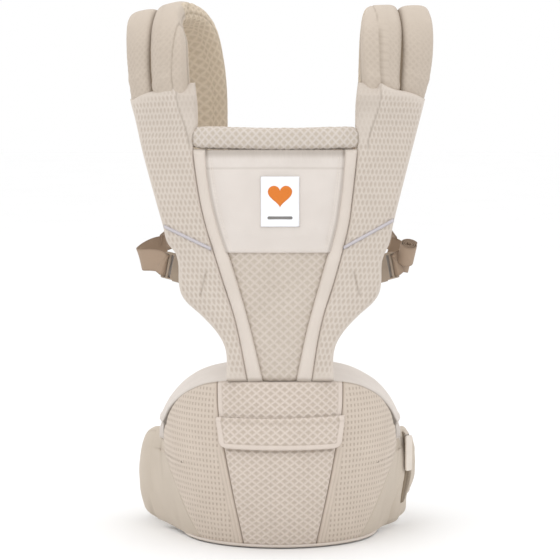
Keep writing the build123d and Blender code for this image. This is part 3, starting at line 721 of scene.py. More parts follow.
# Padded roll along the top edge of the panel
ROLL_R, ROLL_Z = 253.2, 465.2
angle = np.radians(spread(-22.3, 19.9, 0.24))
s, t = loop_shape(60, 2.6)
reach = np.where(angle < 0, angle / angle.min(), angle / angle.max())
end = np.sqrt(np.maximum(1 - reach**60, 0.8))
arc = 252.5 * angle
x = arc[:, None] + 0 * s[None]
turn = np.arctan2(t, s)[None] * 11.5
relief = 0.4 * lattice(x, turn, ROLL_LATTICE) + 0.4 * ripple(x, turn, 4, 40)
thin = ease((reach - 0.8) / 0.2)
wide = (end * (9.6 - 4.0 * thin))[:, None] + 0 * s[None]
tall = (end * (12.3 - 0.6 * thin))[:, None] + 0 * s[None]
radius = ROLL_R + (wide + relief) * s[None]
height = ROLL_Z + (tall + relief) * t[None] - 1.2 * np.cos(arc * 0.03)[:, None]
loops = panel_point(radius * np.sin(angle)[:, None], height, radius)
flat = stack(x, turn, 1.0)
# Painted shade on the roll's underside and in the seams at its two ends.
shade = 0.4 * np.clip(-t, 0, 1)[None] ** 6 + 0.45 * groove(reach - 0.995, 0.012)[:, None]
roll = rings("head_roll", loops, flat, shade, ROLL_MESH, "panel", "head_roll")
cushion(roll, "mesh_knit", 0.85)

# Lining on the wearer's side
x, z = panel_patch(PANEL_FOOT, PANEL_HEAD, lambda h: -interp(WING_OUT[-1], h) + 2.2,
                   lambda h: interp(WING_OUT[1], h) - 2.2, 1.7)
s, across, _ = cloth(x, z, LINING_R, panel_point)
back = 243.6 - 0.35 * holes(s, z, LINING_HOLES) - 0.9 * ease(across / 25) - 0.4 * ripple(s, z, 7, 90)
seam = groove(np.abs(s) - 62, 1.3) * (z > 262)
# Painted shade in the seams and along the edges.
lining = slab("panel_lining", x, z, 248.6, back + 1.2 * seam, panel_point, LINING, None, "panel_lining",
              edge=3.0, shade=0.22 * seam + 0.2 * groove(across - 2, 1.5))
cushion(lining, "fine_mesh", 0.5, *FOLD)

# Shoulder straps, two padded lobes each. A station is the slit's centre, the direction to the outer lobe, and
# the widths of the outer and the inner lobe.
STRAP_LEFT = (
    (-139, -105, 500, -0.8, 0.6, 0, 33, 46), (-142.5, -103, 535, -0.81, 0.58, 0, 33, 46),
    (-143.5, -97, 564, -0.84, 0.5, -0.05, 33, 42), (-142, -80, 590, -0.9, 0.35, -0.15, 33, 31),
    (-138.5, -53, 602.5, -0.96, 0.15, -0.18, 33, 33), (-131, -24, 597, -0.98, 0.05, -0.14, 33, 42),
    (-120, -1, 577, -1, 0, -0.08, 34, 46), (-113, 12, 546, -1, 0, 0, 34, 46),
    (-108.5, 19, 510, -1, 0, 0, 34, 46), (-107, 22, 476, -1, 0, 0, 34, 45),
    (-107, 23, 446, -1, 0, 0, 34, 44),
)
STRAP_RIGHT = (
    (131.5, -105, 500, 0.8, 0.6, 0, 34, 46), (134, -103, 535, 0.9, 0.44, 0, 38, 47),
    (136, -97, 564, 0.94, 0.34, -0.03, 38.5, 47), (136.5, -80, 590.5, 0.96, 0.24, 0, 36.5, 43),
    (135, -53, 604, 0.98, 0.12, 0.05, 34, 36), (132.5, -24, 598, 0.99, 0.04, 0, 33, 37),
    (130, -1, 577, 1, 0, -0.03, 31, 36), (127.5, 12, 546, 1, 0, 0, 29, 34),
    (125.5, 19, 510, 1, 0, 0, 28, 33), (124, 22, 476, 1, 0, 0, 27, 33),
    (123, 23, 446, 1, 0, 0, 26, 33),
)


def lobe(name, strap, sign, seam, thick, power):
    """One padded lobe: knit outside, diamond mesh inside the arch; seam is where an inner lobe's seam runs."""
    centre, across, normal, along, widths = path_frames(strap, 250)
    width = widths[:, 1 if seam else 0][:, None]
    offset = (0.6 + width / 2) * (-1 if seam else 1)
    phase = -22 if seam else 15
    s, t = loop_shape(96, power)
    total = along[-1]
    lean_in = ease(along / 26) * ease((total - along) / 10)
    puff = 1 + 0.03 * np.sin(along * 0.05 + phase) - 0.04 * (1 - ease(along / 30))
    ring = np.cumsum(np.hypot(np.diff(s * width.mean() / 2, append=s[0] * width.mean() / 2),
                              np.diff(t * thick / 2, append=t[0] * thick / 2)))
    rear = (along > 0.36 * total)[:, None] & ((t < 0.8) & (s < -0.7))[None] & bool(seam)
    under = (t < -0.55)[None] | rear
    z, x = grid(along, ring)
    face = np.where(t > 0, t, 0)[None]
    folds = 0.9 * groove(z - 30 - 0.3 * phase + 4 * np.sin(x * 0.12), 3.2) * face
    folds += (0.6 if seam else 0.0) * groove(z - 22 - 0.2 * x, 2.6) * face
    net = lattice(x, z, (6.4, 7.8)) * ease((104 - along) / 44)[:, None] * face
    edge_seam = groove(np.abs(s) - 0.97, 0.05)[None] * groove(t + 0.35, 0.16)[None]
    top_seam = groove((1 - s)[None] * width / 2 - (seam or 999), 0.8) * (t > 0)[None]
    relief = 0.32 * lattice(x, z, STRAP_LATTICE) * under + folds - 1.2 * edge_seam - 0.8 * top_seam
    relief = relief + 0.45 * ripple(x, z, phase, 60) * face + 0.3 * net
    half_w = width / 2 * puff[:, None] + relief
    half_t = thick / 2 * (0.82 + 0.18 * lean_in)[:, None] + relief
    middle = centre + across * offset
    loops = (middle[:, None] + across[:, None] * (s[None] * half_w)[..., None]
             + sign * normal[:, None] * (t[None] * half_t)[..., None])
    # Painted shade in the slit, in the edge and top seams and where the lobe leaves the panel; the net term darkens
    # the mesh pattern's openings, the cloth's own tone.
    slit = groove(s - (1 if seam else -1), 0.22)[None] * groove(t, 0.8)[None]
    shade = 0.35 * edge_seam + 0.22 * top_seam + 0.5 * slit + 0.25 * (1 - ease((along - 6) / 5))[:, None]
    shade = shade + 0.09 * (face * ease((104 - along) / 44)[:, None] - net)
    obj = rings(name, loops, stack(x, z, 1.0), shade, (STRAP_KNIT, KHAKI_MESH), "panel", name, sides=under[:-1] * 1)
    cushion(obj, "strap_knit", 0.85)


for side, word, strap, seam in ((-1, "left", STRAP_LEFT, 34.0), (1, "right", STRAP_RIGHT, 28.5)):
    # Web of cloth in the slit between the lobes, darkened all over with painted shade for the deep slit
    centre, across, normal, along, _ = path_frames(strap, 160)
    s, t = loop_shape(24, 4.0)
    loops = centre[:, None] + across[:, None] * (s * 7.0)[None, :, None] + normal[:, None] * (t * 4.0)[None, :, None]
    web = rings(f"strap_{word}_web", loops, stack(s[None] * 7.0, along[:, None], 1.0), 0.5, KHAKI, "panel")
    cushion(web, "strap_knit", 0.3)
    lobe(f"strap_{word}_outer_lobe", strap, -side, None, 19.0, 2.8)
    lobe(f"strap_{word}_inner_lobe", strap, -side, seam, 23.0, 3.6)
    # Tail below the rear end of the lobes
    x0, y0, z0 = strap[-1][:3]
    if side < 0:
        drop = ((5, 77), (5, 75), (2, 54), (-3, 31))
    else:
        drop = ((-3.5, 60), (-4.5, 57), (-9, 42), (-12, 26))
    rows = [(x0 + dx, y0 + dy, z0 + dz, 1, 0, 0, wide, deep) for (dx, wide), dy, dz, deep in
            zip(drop, (0, 0, -1, -3), (9, -6, -36, -74), (19.5, 18.5, 13.5, 7))]
    centre, across, _, along, size = path_frames(rows, 70)
    s, t = loop_shape(64, 3.0)
    x, z = alike(s * size[:, :1] / 2, along[:, None])
    front = t > 0.3
    relief = 0.4 * lattice(x, z, STRAP_LATTICE) * front[None] - 1.0 * groove(z - 12, 1.4)
    loops = centre[:, None] + across[:, None] * (x + relief * s[None])[..., None] - np.array([0, 1, 0]) * (
        t[None] * (size[:, 1:2] / 2) + relief * t[None])[..., None]
    # Painted shade in the seam across the tail.
    tail = rings(f"strap_{word}_tail", loops, stack(x, z, 1.0), 0.3 * groove(z - 12, 1.2),
                 (STRAP_KNIT, KHAKI_MESH), "panel", f"strap_{word}_tail", sides=front * 1)
    cushion(tail, "strap_knit", 0.7)


# Seat wall: a half ellipse in plan, cut off above by the dome
def dome_height(x):
    return interp(SEAT_DOME, np.abs(x))


def dome_slope(x):
    return dome_height(x + 0.5) - dome_height(x - 0.5)


def wall_point(angle, z, grow):
    """Point of the seat's wall; angle 0 is the front middle."""
    return seat_point(seat_radii(z)[0] * np.sin(angle) * (1 - 1e-7), z, grow)


def wall_grid(rows, columns, left, right):
    """Angles and heights between two seams from the foot of the wall to the dome's edge, which takes a few rounds."""
    foot = 1.5
    v, u = grid(np.linspace(0, 1, rows), np.linspace(0, 1, columns))
    z = foot + v * 170
    for _ in range(12):
        angle = left(z) + (right(z) - left(z)) * u
        top = dome_height(seat_radii(z)[0] * np.sin(angle))
        z = foot + v * (top - foot)
    return angle, z


def seam_angle(table, z):
    return np.arcsin(np.clip(interp(table, z) / seat_radii(z)[0], 0, 1))


angle, z = wall_grid(188, 150, lambda h: -seam_angle(SEAM_X, h), lambda h: seam_angle(SEAM_X, h))
s, across, along = cloth(angle, z, 0.0, wall_point)
above = ease((z - 152) / 5)
margin = 1 - (1 - ease((across - 7.0) / 2.5)) * above
plain = margin * ease((across - 0.8) / 1.5) * ease((along - 1.0) / 2)
ridge = above * groove(across - 4.6, 1.6)
front = (-1.0 + 0.55 * lattice(s, z) * plain + 0.9 * ease(across / 10) + 0.5 * ridge
         + 0.35 * ripple(s, z, 8, 95) - 0.5 * groove(along, 3))
# Painted shade in the side seams and beside the smooth margin, a painted shadow under the flap's lower edge, and a
# painted dark gap along the top edge.
shade = (0.28 * groove(across, 0.8) + 0.10 * above * groove(across - 8.0, 1.0)
         + 0.26 * groove(z - 115.8, 1.8) * ease((66 - np.abs(s)) / 4) + 0.25 * groove(along - 0.4, 1.3) * (z > 100))
seat_front = slab("seat_front_panel", angle, z, front, -5.5, wall_point, SEAT_MESH, "seat", "seat_front_panel",
                  edge=2.6, shade=shade, pattern=plain)
cushion(seat_front, "mesh_knit", 0.8)

for side, word in ((-1, "left"), (1, "right")):
    angle, z = wall_grid(172, 104, lambda h: side * seam_angle(SEAM_X, h), lambda h: side * seam_angle(GUSSET, h))
    s, across, along = cloth(angle, z, 0.0, wall_point, 0.0)
    below = 1 - ease((z - 113) / 6)
    seam = np.abs(s)
    x = seat_radii(z)[0] * np.sin(angle)
    rim = (dome_height(x) - z) / np.sqrt(1 + dome_slope(x) ** 2)
    band = (1 - ease((seam - 9.0) / 1.5)) * below
    plain = (1 - band) * ease((across - 0.8) / 5.0) * ease((along - 1.0) / 2.5)
    front = (-0.9 + 0.14 * dashes(s, z) * plain + 0.7 * ease(across / 10)
             + below * (0.6 * groove(seam - 2.6, 1.1) + 0.6 * groove(seam - 6.8, 1.1))
             + 0.5 * ripple(s, z, 9 + side, 75))
    # Painted shade in the seams and the stitch lines, and a painted dark gap along the dome's edge, wider and darker
    # lower down.
    shade = (0.28 * groove(seam, 0.8) + 0.14 * below * (groove(seam - 4.7, 0.8) + groove(seam - 9.2, 0.8))
             + (0.45 + 0.42 * ease((186 - z) / 30)) * (1 - ease((rim - 0.7 - 1.5 * ease((172 - z) / 50)) / 0.8)))
    part = slab(f"seat_side_{word}", angle, z, front, -5.5, wall_point, SIDE_MESH, "seat", "seat_sides",
                edge=2.2, shade=shade, pattern=plain, zero=0.0)
    cushion(part, "mesh_knit", 0.8)

# Cream top of the seat, sunk a little along its front edge, over the foam core, with painted shade along that front
# edge for the gap behind the mesh's rim
def belt_front(x):
    """How far back the front of the belt's ring is."""
    return BELT_Y - BELT_B * np.sqrt(1 - (x / BELT_A) ** 2)


x = np.concatenate([-spread(0, 1, 0.012)[:0:-1], spread(0, 1, 0.012)]) * 136.8
v, x = grid(spread(0, 1, 0.016), x)
edge_z = dome_height(x)
a, b = seat_radii(edge_z)
front_y = SEAT_Y - b * np.sqrt(np.maximum(1 - (x / a) ** 2, 0)) + 4.0
rear_y = np.minimum(belt_front(x) + 1.0, SEAT_Y + 4)
rear_y = np.maximum(rear_y, front_y + 3.0)
y = front_y + (rear_y - front_y) * v
away = y - front_y


def top_point(x, y, depth):
    """Point on the seat's top, depth above the dome's profile."""
    slope = dome_slope(x)
    tilt = np.sqrt(1 + slope**2)
    return stack(x - depth * slope / tilt, y, dome_height(x) + depth / tilt)


sink = 1 - ease(away / 7.0)
climb = (interp(BELT_TOP, np.abs(x)) - dome_height(x)) / np.sqrt(1 + dome_slope(x) ** 2)
front = (0.2 + 1.8 * ease(away / 30) + 2.4 * ease((np.abs(x) - 112) / 24) - 3.6 * sink + 0.5 * ripple(x, y, 11, 90)
         + climb * ease((v - 0.25) / 0.75))
# Painted shade: a dark band along the front edge, wider lower down.
gap = 1.2 + 2.6 * ease((166 - edge_z) / 55)
shade = 0.72 * (1 - ease((away - gap) / 3.0))
top = slab("seat_top_cover", x, y, front, -6.5, top_point, CREAM, "seat", "seat_top_cover", "seat_core",
           edge=2.5, shade=shade)
cushion(top, "cream_knit", 0.9)

# Base cloth and its piping
v, u = grid(spread(0, 1, 0.05), spread(-1, 1, 0.02))
x = u * 109.0
front_y = SEAT_Y - 117.0 * np.sqrt(np.maximum(1 - (x / 112.0) ** 2, 0))
rear_y = np.maximum(np.minimum(belt_front(x), SEAT_Y), front_y + 2.5)
base = slab("seat_base", x, front_y + (rear_y - front_y) * v, 6.0, 0.4, stack, BELT_CLOTH, "seat", "seat_base",
            edge=2.0)
cushion(base, "belt_fabric", 0.6)

angle = np.radians(spread(-89, 89, 1.2))
s, t = loop_shape(14, 2)
loops = wall_point(angle[:, None] + 0 * s, 2.5 + 1.9 * t[None] + 0 * angle[:, None], 0.3 + 1.9 * s[None])
flat = stack(6 * s[None], (np.degrees(angle) * 2)[:, None], 1.0)
piping = rings("seat_piping", loops, flat, 0.0, TRIM_CREAM, "seat", "seat_piping")
cushion(piping, "cream_knit", 1.0)

# Loop and hook tapes under the flap
for name, low, high, body, under in (("seat_loop_tape", 0.1, 1.0, "seat", seat_front),
                                     ("flap_hook_tape", 1.3, 2.1, "flap", "soft_seat_flap")):
    z, x = grid(spread(121.3, 131.5, 1.0), spread(-57, 57, 1.0))
    tape = slab(name, x, z + x * 0.012, high + 0.15 * ripple(x, z, 3, 2.4), low, seat_point, TAPE, body, name,
                edge=0.5)


# Flap, with its two lower corners rounded and its right side a little higher
CORNER = 8.0
v, u = grid(np.linspace(0, 1, 44), np.linspace(-1, 1, 150))
z = 118.0 + 35.5 * v
half = 66.5 + 4.0 * ease((z - 119.5) / 38)
rise = np.clip(CORNER - (z - 118.5), 0, CORNER)
x = u * (half - (CORNER - np.sqrt(np.maximum(CORNER**2 - rise**2, 0)))) + 0.3
z = z + x * 0.014 * v
s, across, along = cloth(x, z, 5.0, seat_point)
low = np.minimum(across / 8.4, (z - z[:1]) / 6.0) * 5.0
rim = 1 - ease((low - 4.3) / 0.9)
plain = 1 - rim
front = (5.6 + 0.5 * lattice(s, z) * plain + 0.6 * rim * ease(low / 1.6) - 0.4 * groove(low - 5.0, 0.9)
         + 0.7 * ease(across / 30) + 0.4 * ripple(s, z, 13, 60) - 2.2 * ease((z - 147) / 7))
# Painted shade in the stitch groove inside the binding and in the fold near the top; the binding is made a little
# lighter.
flap = slab("seat_flap", x, z, front, 2.4, seat_point, SEAT_MESH, None, "seat_flap", edge=2.0,
            shade=0.2 * groove(low - 5.0, 0.5) - 0.05 * rim + 0.14 * groove(z - 148.5, 1.6), pattern=plain)
cushion(flap, "mesh_knit", 0.7, "seat", "flap", (0.0, -0.178, 0.1575), (0.0, -0.178, 0.149))


# Belt ring
def belt_patch(first, last, low, high, pitch=1.6):
    """Angles, heights and shares of the height on the belt, between two angles in degrees and two edges."""
    v, angle = grid(spread(0, 1, pitch / 110), np.radians(spread(first, last, pitch / 2.6)))
    return angle, low(angle) + (high(angle) - low(angle)) * v, v


def ring_y(angle):
    return BELT_Y - BELT_B * np.cos(angle)


def band_high(angle):
    return interp(BELT_TOP, np.abs(BELT_A * np.sin(angle)))


def band_low(angle):
    """Low edge of the belt's middle, which rises behind the wings."""
    return np.minimum(0.8 + 101 * ease((np.degrees(np.abs(angle)) - 42.5) / 6), band_high(angle) - 10)


angle, z, _ = belt_patch(-60.4, 60.4, band_low, band_high, 1.2)
s, _, along = cloth(angle, z, 0.0, belt_point)
front = 0.3 + 0.5 * ripple(s, z, 15, 90)
back = -13.5 + 11.5 * ease((np.degrees(np.abs(angle)) - 52) / 6)
# Painted shade in the stitch line near its edges, and more painted shade towards the bottom.
band = slab("belt_middle", angle, z, front, back, belt_point, CREAM, "seat", "belt_middle", edge=6.5,
            shade=0.12 * groove(along - 6, 1.0) + 0.16 * (1 - ease((z - 70) / 60)))
cushion(band, "cream_knit", 0.8)

angle, z, _ = belt_patch(-44.0, 44.0, lambda a: 0 * a + 14.5, lambda a: band_high(a) - 22.0)
s, _, along = cloth(angle, z, -17.0, belt_point)
quilt = groove((s + 1000) % 44 - 22, 1.8) * ease((along - 8) / 6)
back = -20.2 + 1.4 * quilt - 0.35 * holes(s, z, LINING_HOLES) - 1.2 * ease(along / 22)
# Painted shade in the quilting lines.
pad = slab("waist_pad", angle, z, -13.4, back, belt_point, LINING, "seat", "waist_pad", edge=4.0, shade=0.2 * quilt)
cushion(pad, "fine_mesh", 0.85)

# Low and high edge of the wings, by how far back they are.
LOW_EDGE = ((-6, 1), (30, 6), (90, 12), (190, 28))
HIGH_EDGE = (
    (-6, 100), (6, 103), (15, 113.5), (23, 117.5), (38, 115.5), (66, 107), (110, 103),
    (190, 93),
)


def wing_low(angle):
    return interp(LOW_EDGE, ring_y(angle))


def wing_high(angle):
    return interp(HIGH_EDGE, ring_y(angle))


def wing_face(angle, z):
    """Outer face of a belt wing, puffed up between its edges and flatter round the pocket on the right."""
    low, high = wing_low(angle), wing_high(angle)
    w = np.minimum(np.abs(2 * (z - low) / (high - low) - 1), 1.0)
    turn = np.degrees(np.abs(angle))
    near = 1 - ease((turn - 60) / 45)
    before = 1 - ease((turn - 118) / 12)
    puff = 4.6 - 3.6 * (angle > 0) * ease((turn - 54) / 7) * (1 - ease((turn - 108) / 10))
    flatten = 6.0 * (angle > 0) * ease((turn - 66) / 14) * before
    foot = 9.0 * (angle > 0) * ease((62 - z) / 45) * ease((turn - 60) / 12) * before
    return puff * (1 - w**2) - (2.5 + 5.5 * near) * w**3.5 - flatten - foot


for side, word in ((-1, "left"), (1, "right")):
    angle, z, v = belt_patch(49.0, 154.0, wing_low, wing_high)
    s, _, along = cloth(angle, z, 0.0, belt_point, 0.0)
    w = 2 * v - 1
    near = 1 - ease((np.degrees(angle) - 60) / 45)
    tuck = sum(high * groove((s - a) + (z - b) * 0.4, long) * groove(z - b, tall)
               for a, b, long, tall, high in ((34, 104, 5, 13, -1.2), (48, 14, 6, 15, -1.1), (90, 100, 7, 18, -0.9),
                                              (120, 24, 8, 18, 0.9), (66, 60, 12, 40, 0.5)))
    line = groove(np.degrees(angle) - 118, 0.8)
    front = wing_face(angle * side, z) + tuck + 0.7 * ripple(s, z, 17 + side, 70) - 0.9 * line
    # Painted shade in the seam line and along the edges, darker in the tucks' dents, and painted light on their
    # bulges.
    wing = slab(f"belt_wing_{word}", angle * side, z, front, -12.5 + 0.3 * np.abs(w) - 2.0 * near * np.abs(w) ** 3,
                belt_point, BELT_CLOTH, None, f"belt_wing_{word}", edge=7.5, zero=0.0,
                shade=0.16 * line + 0.14 * groove(along - 5, 1.2) - 0.10 * tuck)
    ends = [(belt_point(np.radians(turn) * side, 60.0, 0.0) * MM).tolist() for turn in (50.0, 66.0)]
    cushion(wing, "belt_fabric", 0.75, "seat", f"belt_{word}", *ends)

    # Lower seat corner, carried back to meet the belt wing.
    v, u = grid(np.linspace(0, 1, 84), np.linspace(0, 1, 56))
    z = 1.2 + 3.8 * u + v * (102.8 + 9.5 * ease((u - 0.4) / 0.5))
    begin = seam_angle(GUSSET, z) - 0.012
    a, b = seat_radii(z)
    leave = unit(stack(side * a * np.cos(begin), b * np.sin(begin), 0.0))
    ring = side * np.radians(68.0) + 0 * z
    far = belt_point(ring, z, wing_face(ring, z) + 0.3)
    reach = unit(belt_point(ring + side * 0.05, z, 0.0) - belt_point(ring, z, 0.0))
    near_point = wall_point(side * begin, z, 0.0)
    span = 0.36 * np.linalg.norm(far - near_point, axis=-1, keepdims=True)
    k = u[..., None]
    skin = ((1 - k) ** 3 * near_point + 3 * (1 - k) ** 2 * k * (near_point + leave * span)
            + 3 * (1 - k) * k**2 * (far - reach * span) + k**3 * far)
    outward = np.cross(np.gradient(skin, axis=1), np.gradient(skin, axis=0)) * side
    outward /= np.maximum(np.linalg.norm(outward, axis=-1, keepdims=True), 1e-9)
    crease = (0.8 * groove(u - 0.55 + 0.002 * (z - 60), 0.06) * groove(z - 88, 26)
              + 0.6 * groove(u - 0.4 + z * 0.003, 0.06) * groove(z - 20, 18))
    depth = -0.6 + 0.5 * ripple(u * 70, z, 21 + side, 60) - crease
    # Painted shade in the creases.
    gusset = slab(f"seat_gusset_{word}", u, z, depth, -4.5, lambda a, b, c: skin + outward * c[..., None],
                  BELT_CLOTH, "seat", "seat_gussets", edge=1.6, shade=0.08 * crease, zero=0.0)
    cushion(gusset, "belt_fabric", 0.6)


# Pocket and zip on the right-hand wing; the zip gapes open into a wedge
def gape(z):
    return np.sin(math.pi * np.clip((z - 28) / 84, 0, 1)) ** 0.8


v, u = grid(spread(0, 1, 0.016), spread(0, 1, 0.018))
first = 64.5 + 7.0 * gape(30 + 78 * v)
angle = np.radians(first + (106.5 - first) * u)
z = 30.0 + 0.055 * (ring_y(angle) - 22)
z = z + (108.0 - 0.15 * (ring_y(angle) - 22) - z) * v
s, across, along = cloth(angle, z, 2.0, belt_point, 0.0)
under = wing_face(angle, z)
front = (under + 2.0 + 0.7 * ripple(s, z, 23, 45) + 1.0 * ease(across / 20) * ease(along / 18)
         + 0.4 * groove(along - 3, 1.0))
# Painted shade in the stitch line round the pocket's edge.
pocket = slab("belt_pocket", angle, z, front, under - 1.5, belt_point, BELT_CLOTH, "belt_right", "belt_pocket",
              edge=2.5, shade=0.2 * groove(np.minimum(across, along) - 4.5, 0.9), zero=0.0)
cushion(pocket, "belt_fabric", 0.5)

v, u = grid(spread(0, 1, 0.010), spread(0, 1, 0.05))
z = 28.0 + 84.0 * v
begin = 60.0 + 3.6 * ease((z - 30) / 45)
angle = np.radians(begin + (66.0 + 7.5 * gape(z) - begin) * u)
chain = groove(u - 0.3, 0.07)
under = wing_face(angle, z)
front = under + 1.6 + 0.6 * chain * (0.6 + 0.4 * np.sin(2 * math.pi * z / 2.2)) - 0.8 * ease((u - 0.4) / 0.3)
# Painted shade along the tape's edge, deepening into the open zip; the chain is made darker too.
zip_tape = slab("pocket_zip", angle, z, front, under - 1.0, belt_point, POCKET_CLOTH_SHADED, "belt_right", "pocket_zip",
                edge=0.8, shade=0.3 * groove(u - 0.18, 0.06) + 0.2 * chain + 0.25 * ease((u - 0.35) / 0.4))

# Webbing
UP = (0.0, 0.0, 1.0)
SIDE_WEBBING, WAIST_WEBBING, CHEST_WEBBING = 25.0, 40.0, 20.0
WAIST_Z, CHEST_Z = 62.0, 455.0


def webbing(name, stations, width, body, node, thick=1.8, steps=120):
    """Flat woven webbing along its stations, as long as they are."""
    centre, across, normal, along, _ = path_frames(stations, steps)
    s, t = loop_shape(28, 9)
    loops = (centre[:, None] + across[:, None] * (s * width / 2)[None, :, None]
             + normal[:, None] * (t * thick / 2)[None, :, None])
    flat = stack((s * width / 2)[None, :], along[:, None], 0.0)
    # Painted shade on the webbing's two narrow edges.
    tape = rings(name, loops, flat, np.abs(s)[None, :] ** 12 * 0.35, WEBBING, body, node)
    length = float(path_frames(stations, 120)[3][-1])


def side_frame(side):
    """Origin and axes of a side buckle: out of the female, up, and towards the front."""
    u = np.array([-0.919, 0.335, 0.208])
    u /= np.linalg.norm(u)
    up = np.array([0, 0, 1]) - u * u[2]
    up /= np.linalg.norm(up)
    face = np.cross(up, u)
    flip = np.array([-side, 1, 1])
    return np.array([-117.8, -104.3, 316.9]) * flip, u * flip, up * flip, face * flip


# Slack loop and anchor in a buckle's own axes: out, up, towards the front and how far the webbing leans out.
LOOP = (
    (10.6, 0, 0, 0), (10.8, 0, 3.8, 0), (12.3, 0.5, 6.1, 0), (15.2, 1.5, 6.2, 0), (20, 3, 5, 0.1),
    (31, 1.5, 2.4, 0.35), (43, -1.5, -2, 0.5), (48.5, -1.5, -9, 0.5), (47, 4, -19, 0.35), (40, 11, -27, 0.15),
    (30, 16, -33, 0.05),
)
ANCHOR = ((-29.5, 7.2), (-27, 7), (-26, 4.4), (-25.9, 0.5))
STRAP_WEB = {
    -1: ((-137.5, -66.5, 340, 0.12, -0.1, 0.98), (-131, -52, 344.5, 0.05, -0.1, 0.98),
         (-121, -30, 349, -0.3, 0, 0.95), (-111, -3, 358, -0.8, 0.1, 0.6), (-106.5, 10.5, 369, -1, 0, 0.15),
         (-105.5, 14.6, 384, -1, 0, 0)),
    1: ((134, -67.5, 338, -0.12, -0.1, 0.98), (129, -52, 343.5, -0.05, -0.1, 0.98),
        (121, -30, 350, 0.3, 0, 0.95), (114, -4, 360, 0.8, 0.1, 0.6), (111.6, 10.5, 371, 1, 0, 0.15),
        (111.2, 14.6, 385, 1, 0, 0)),
}
for side, word in ((-1, "left"), (1, "right")):
    origin, out, up, face = side_frame(side)
    reach = [p[0] if side < 0 else min(p[0], 15.0 + 0.62 * (p[0] - 15.0)) for p in LOOP]
    loop = [[*(origin + out * r + up * p[1] + face * p[2]), *(up + out * p[3])] for r, p in zip(reach, LOOP)]
    webbing(f"webbing_loop_{word}", loop, SIDE_WEBBING, f"buckle_{word}", f"webbing_loop_{word}")
    inner = [(side * 66.0, -131.5, 303.6), (side * 78.0, -127.0, 306.2)]
    anchor = [[*p, *up] for p in inner] + [[*(origin + out * p[0] + face * p[1]), *up] for p in ANCHOR]
    webbing(f"buckle_anchor_{word}", anchor, SIDE_WEBBING, "panel", "buckle_anchors", 1.6)
    webbing(f"strap_webbing_{word}", STRAP_WEB[side], SIDE_WEBBING, "panel", "strap_webbing")

# Rolled spare webbing on the right, seen partly from above, and its upright end
axis = np.array([0.16, -0.50, 0.85])
axis /= np.linalg.norm(axis)
across = np.cross(axis, (0.0, 1.0, 0.0))
across /= np.linalg.norm(across)
ahead = np.cross(across, axis)
centre = np.array([144.5, -107.5, 333.5])
turns = spread(0.9, 3.4 * 2 * math.pi, 0.14)
radius = 2.0 + 8.2 * turns / turns.max()
coil = [[*(centre + across * r * math.cos(a) + ahead * r * math.sin(a)), *axis] for a, r in zip(turns, radius)]
webbing("webbing_roll_right", coil, SIDE_WEBBING, "buckle_right", "webbing_loop_right",
        1.5, 3 * len(coil))

# Waist and chest webbing, round the bars of their buckles; runs are (x, depth) from the buckle's middle plane.
WAIST_BUCKLE_Y, CHEST_BUCKLE_Y = 175.44, 39.5
WAIST_RUN = {-1: ((-64, -5.8), (-58.5, -6.3), (-54.9, -6.2), (-53.2, -3.6), (-53.1, 1)),
             1: ((61, -6.8), (53, -7.3), (47.4, -7.1), (45.6, -4.2), (45.4, 0))}
CHEST_RUN = {
    -1: ((-84, -0.2), (-40, 0), (-18, 3.8), (-11, 6), (-8, 5.9), (-6.9, 3.8), (-6.7, 0.5)),
    1: ((112, -0.2), (60, 0), (34, 3.6), (27, 5.4), (23.9, 5.5), (22.6, 3.2), (22.5, 0)),
}
for side, word in ((-1, "left"), (1, "right")):
    rows = [[*belt_point(side * math.radians(180 - a), WAIST_Z, 1.4), *UP] for a in (36, 32, 28)]
    rows += [[x, WAIST_BUCKLE_Y + y, WAIST_Z, *UP] for x, y in WAIST_RUN[side]]
    webbing(f"belt_webbing_{word}", rows, WAIST_WEBBING, f"belt_{word}", f"belt_webbing_{word}")
for side, word in ((-1, "left"), (1, "right")):
    rows = [[x, CHEST_BUCKLE_Y + y, CHEST_Z, *UP] for x, y in CHEST_RUN[side]]
    webbing(f"chest_webbing_{word}", rows, CHEST_WEBBING, "chest_strap", f"chest_webbing_{word}",
            1.4)

# Hard parts keep their CAD meshes
HARD = {
    "taupe_plastic": (PLASTIC, (
        "side_buckle_females", "chest_sliders", "chest_buckle_female", "chest_buckle_male", "chest_buckle_prong_high",
        "chest_buckle_prong_low", "waist_buckle_male", "waist_buckle_female", "waist_prong_high", "waist_prong_low",
        *(f"side_buckle_{word}_{part}" for word in ("left", "right") for part in ("male", "prong_high", "prong_low")),
    )),
    "board": (BOARD, ("seat_back_board",)),
    "zip_metal": (ZIP_METAL, ("zip_slider",)),
    "pull_cream": (PULL, ("zip_pull",)),
}
for name, (material, nodes) in HARD.items():
    for node in nodes:
        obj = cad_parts[node]
        for holder in obj.material_slots:
            holder.link = "OBJECT"
            holder.material = material

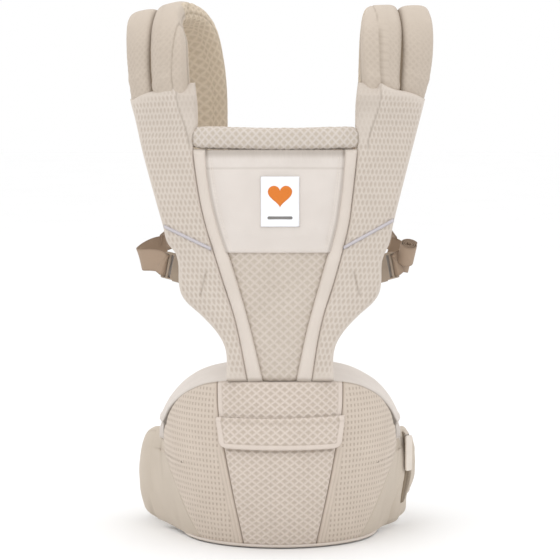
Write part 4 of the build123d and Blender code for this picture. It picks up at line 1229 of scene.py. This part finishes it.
# Floor, light and camera
bpy.ops.mesh.primitive_plane_add(size=24, location=(0, 4, min(cad_box[0][2], 0.0) - 0.0008))
floor = bpy.context.object
floor.name = "floor"
paper = Graph("paper")
place = paper.add("ShaderNodeTexCoord").outputs["Object"]
tone = paper.remap(paper.noise(place, 3.0), 0.3, 0.7, 0.90, 0.91, False)
paper.link(paper.add("ShaderNodeCombineColor", {0: tone, 1: tone, 2: tone}).outputs[0], "Base Color")
paper.shader.inputs["Roughness"].default_value = 0.9
paper.shader.inputs["Specular IOR Level"].default_value = 0.1
floor.data.materials.append(paper.material)
floor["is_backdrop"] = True

world = bpy.data.worlds.new("studio")
bpy.context.scene.world = world
world.use_nodes = True
white = world.node_tree.nodes["Background"]
white.inputs["Color"].default_value = (1.0, 1.0, 1.0, 1.0)
white.inputs["Strength"].default_value = 1.0


def soft_light(name, place, target, size, power):
    data = bpy.data.lights.new(name, "AREA")
    data.shape = "DISK"
    data.size = size
    data.energy = power
    light = bpy.data.objects.new(name, data)
    light.location = place
    light.rotation_euler = (Vector(target) - Vector(place)).to_track_quat("-Z", "Y").to_euler()
    bpy.context.scene.collection.objects.link(light)


soft_light("key", (-1.3, -2.0, 2.5), (0, 0, 0.3), 1.5, 12)
soft_light("fill", (1.9, -2.2, 1.5), (0, 0, 0.3), 2.0, 4)
soft_light("top", (0.0, 0.3, 2.6), (0, 0, 0.2), 2.2, 7)
sun = bpy.data.lights.new("sky", "SUN")
sun.energy, sun.angle = 0.35, 1.6
sky = bpy.data.objects.new("sky", sun)
sky.rotation_euler = (0.35, 0.12, 0.0)
bpy.context.scene.collection.objects.link(sky)

# Long lens at the photograph's height, tilted a little down
EYE, TILT, LENS = (0.0, -3.058, 0.530), 4.405, 167.7
data = bpy.data.cameras.new("camera")
data.lens = LENS
data.sensor_width = 36.0
data.clip_end = 100
camera = bpy.data.objects.new("camera", data)
camera.location = EYE
camera.rotation_euler = (math.radians(90 - TILT), 0.0, 0.0)
bpy.context.scene.collection.objects.link(camera)
bpy.context.scene.camera = camera
bpy.context.scene.view_settings.view_transform = "Standard"

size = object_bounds()
{"cad": [list(map(float, v)) for v in cad_box], "visual": [list(map(float, v)) for v in size]}
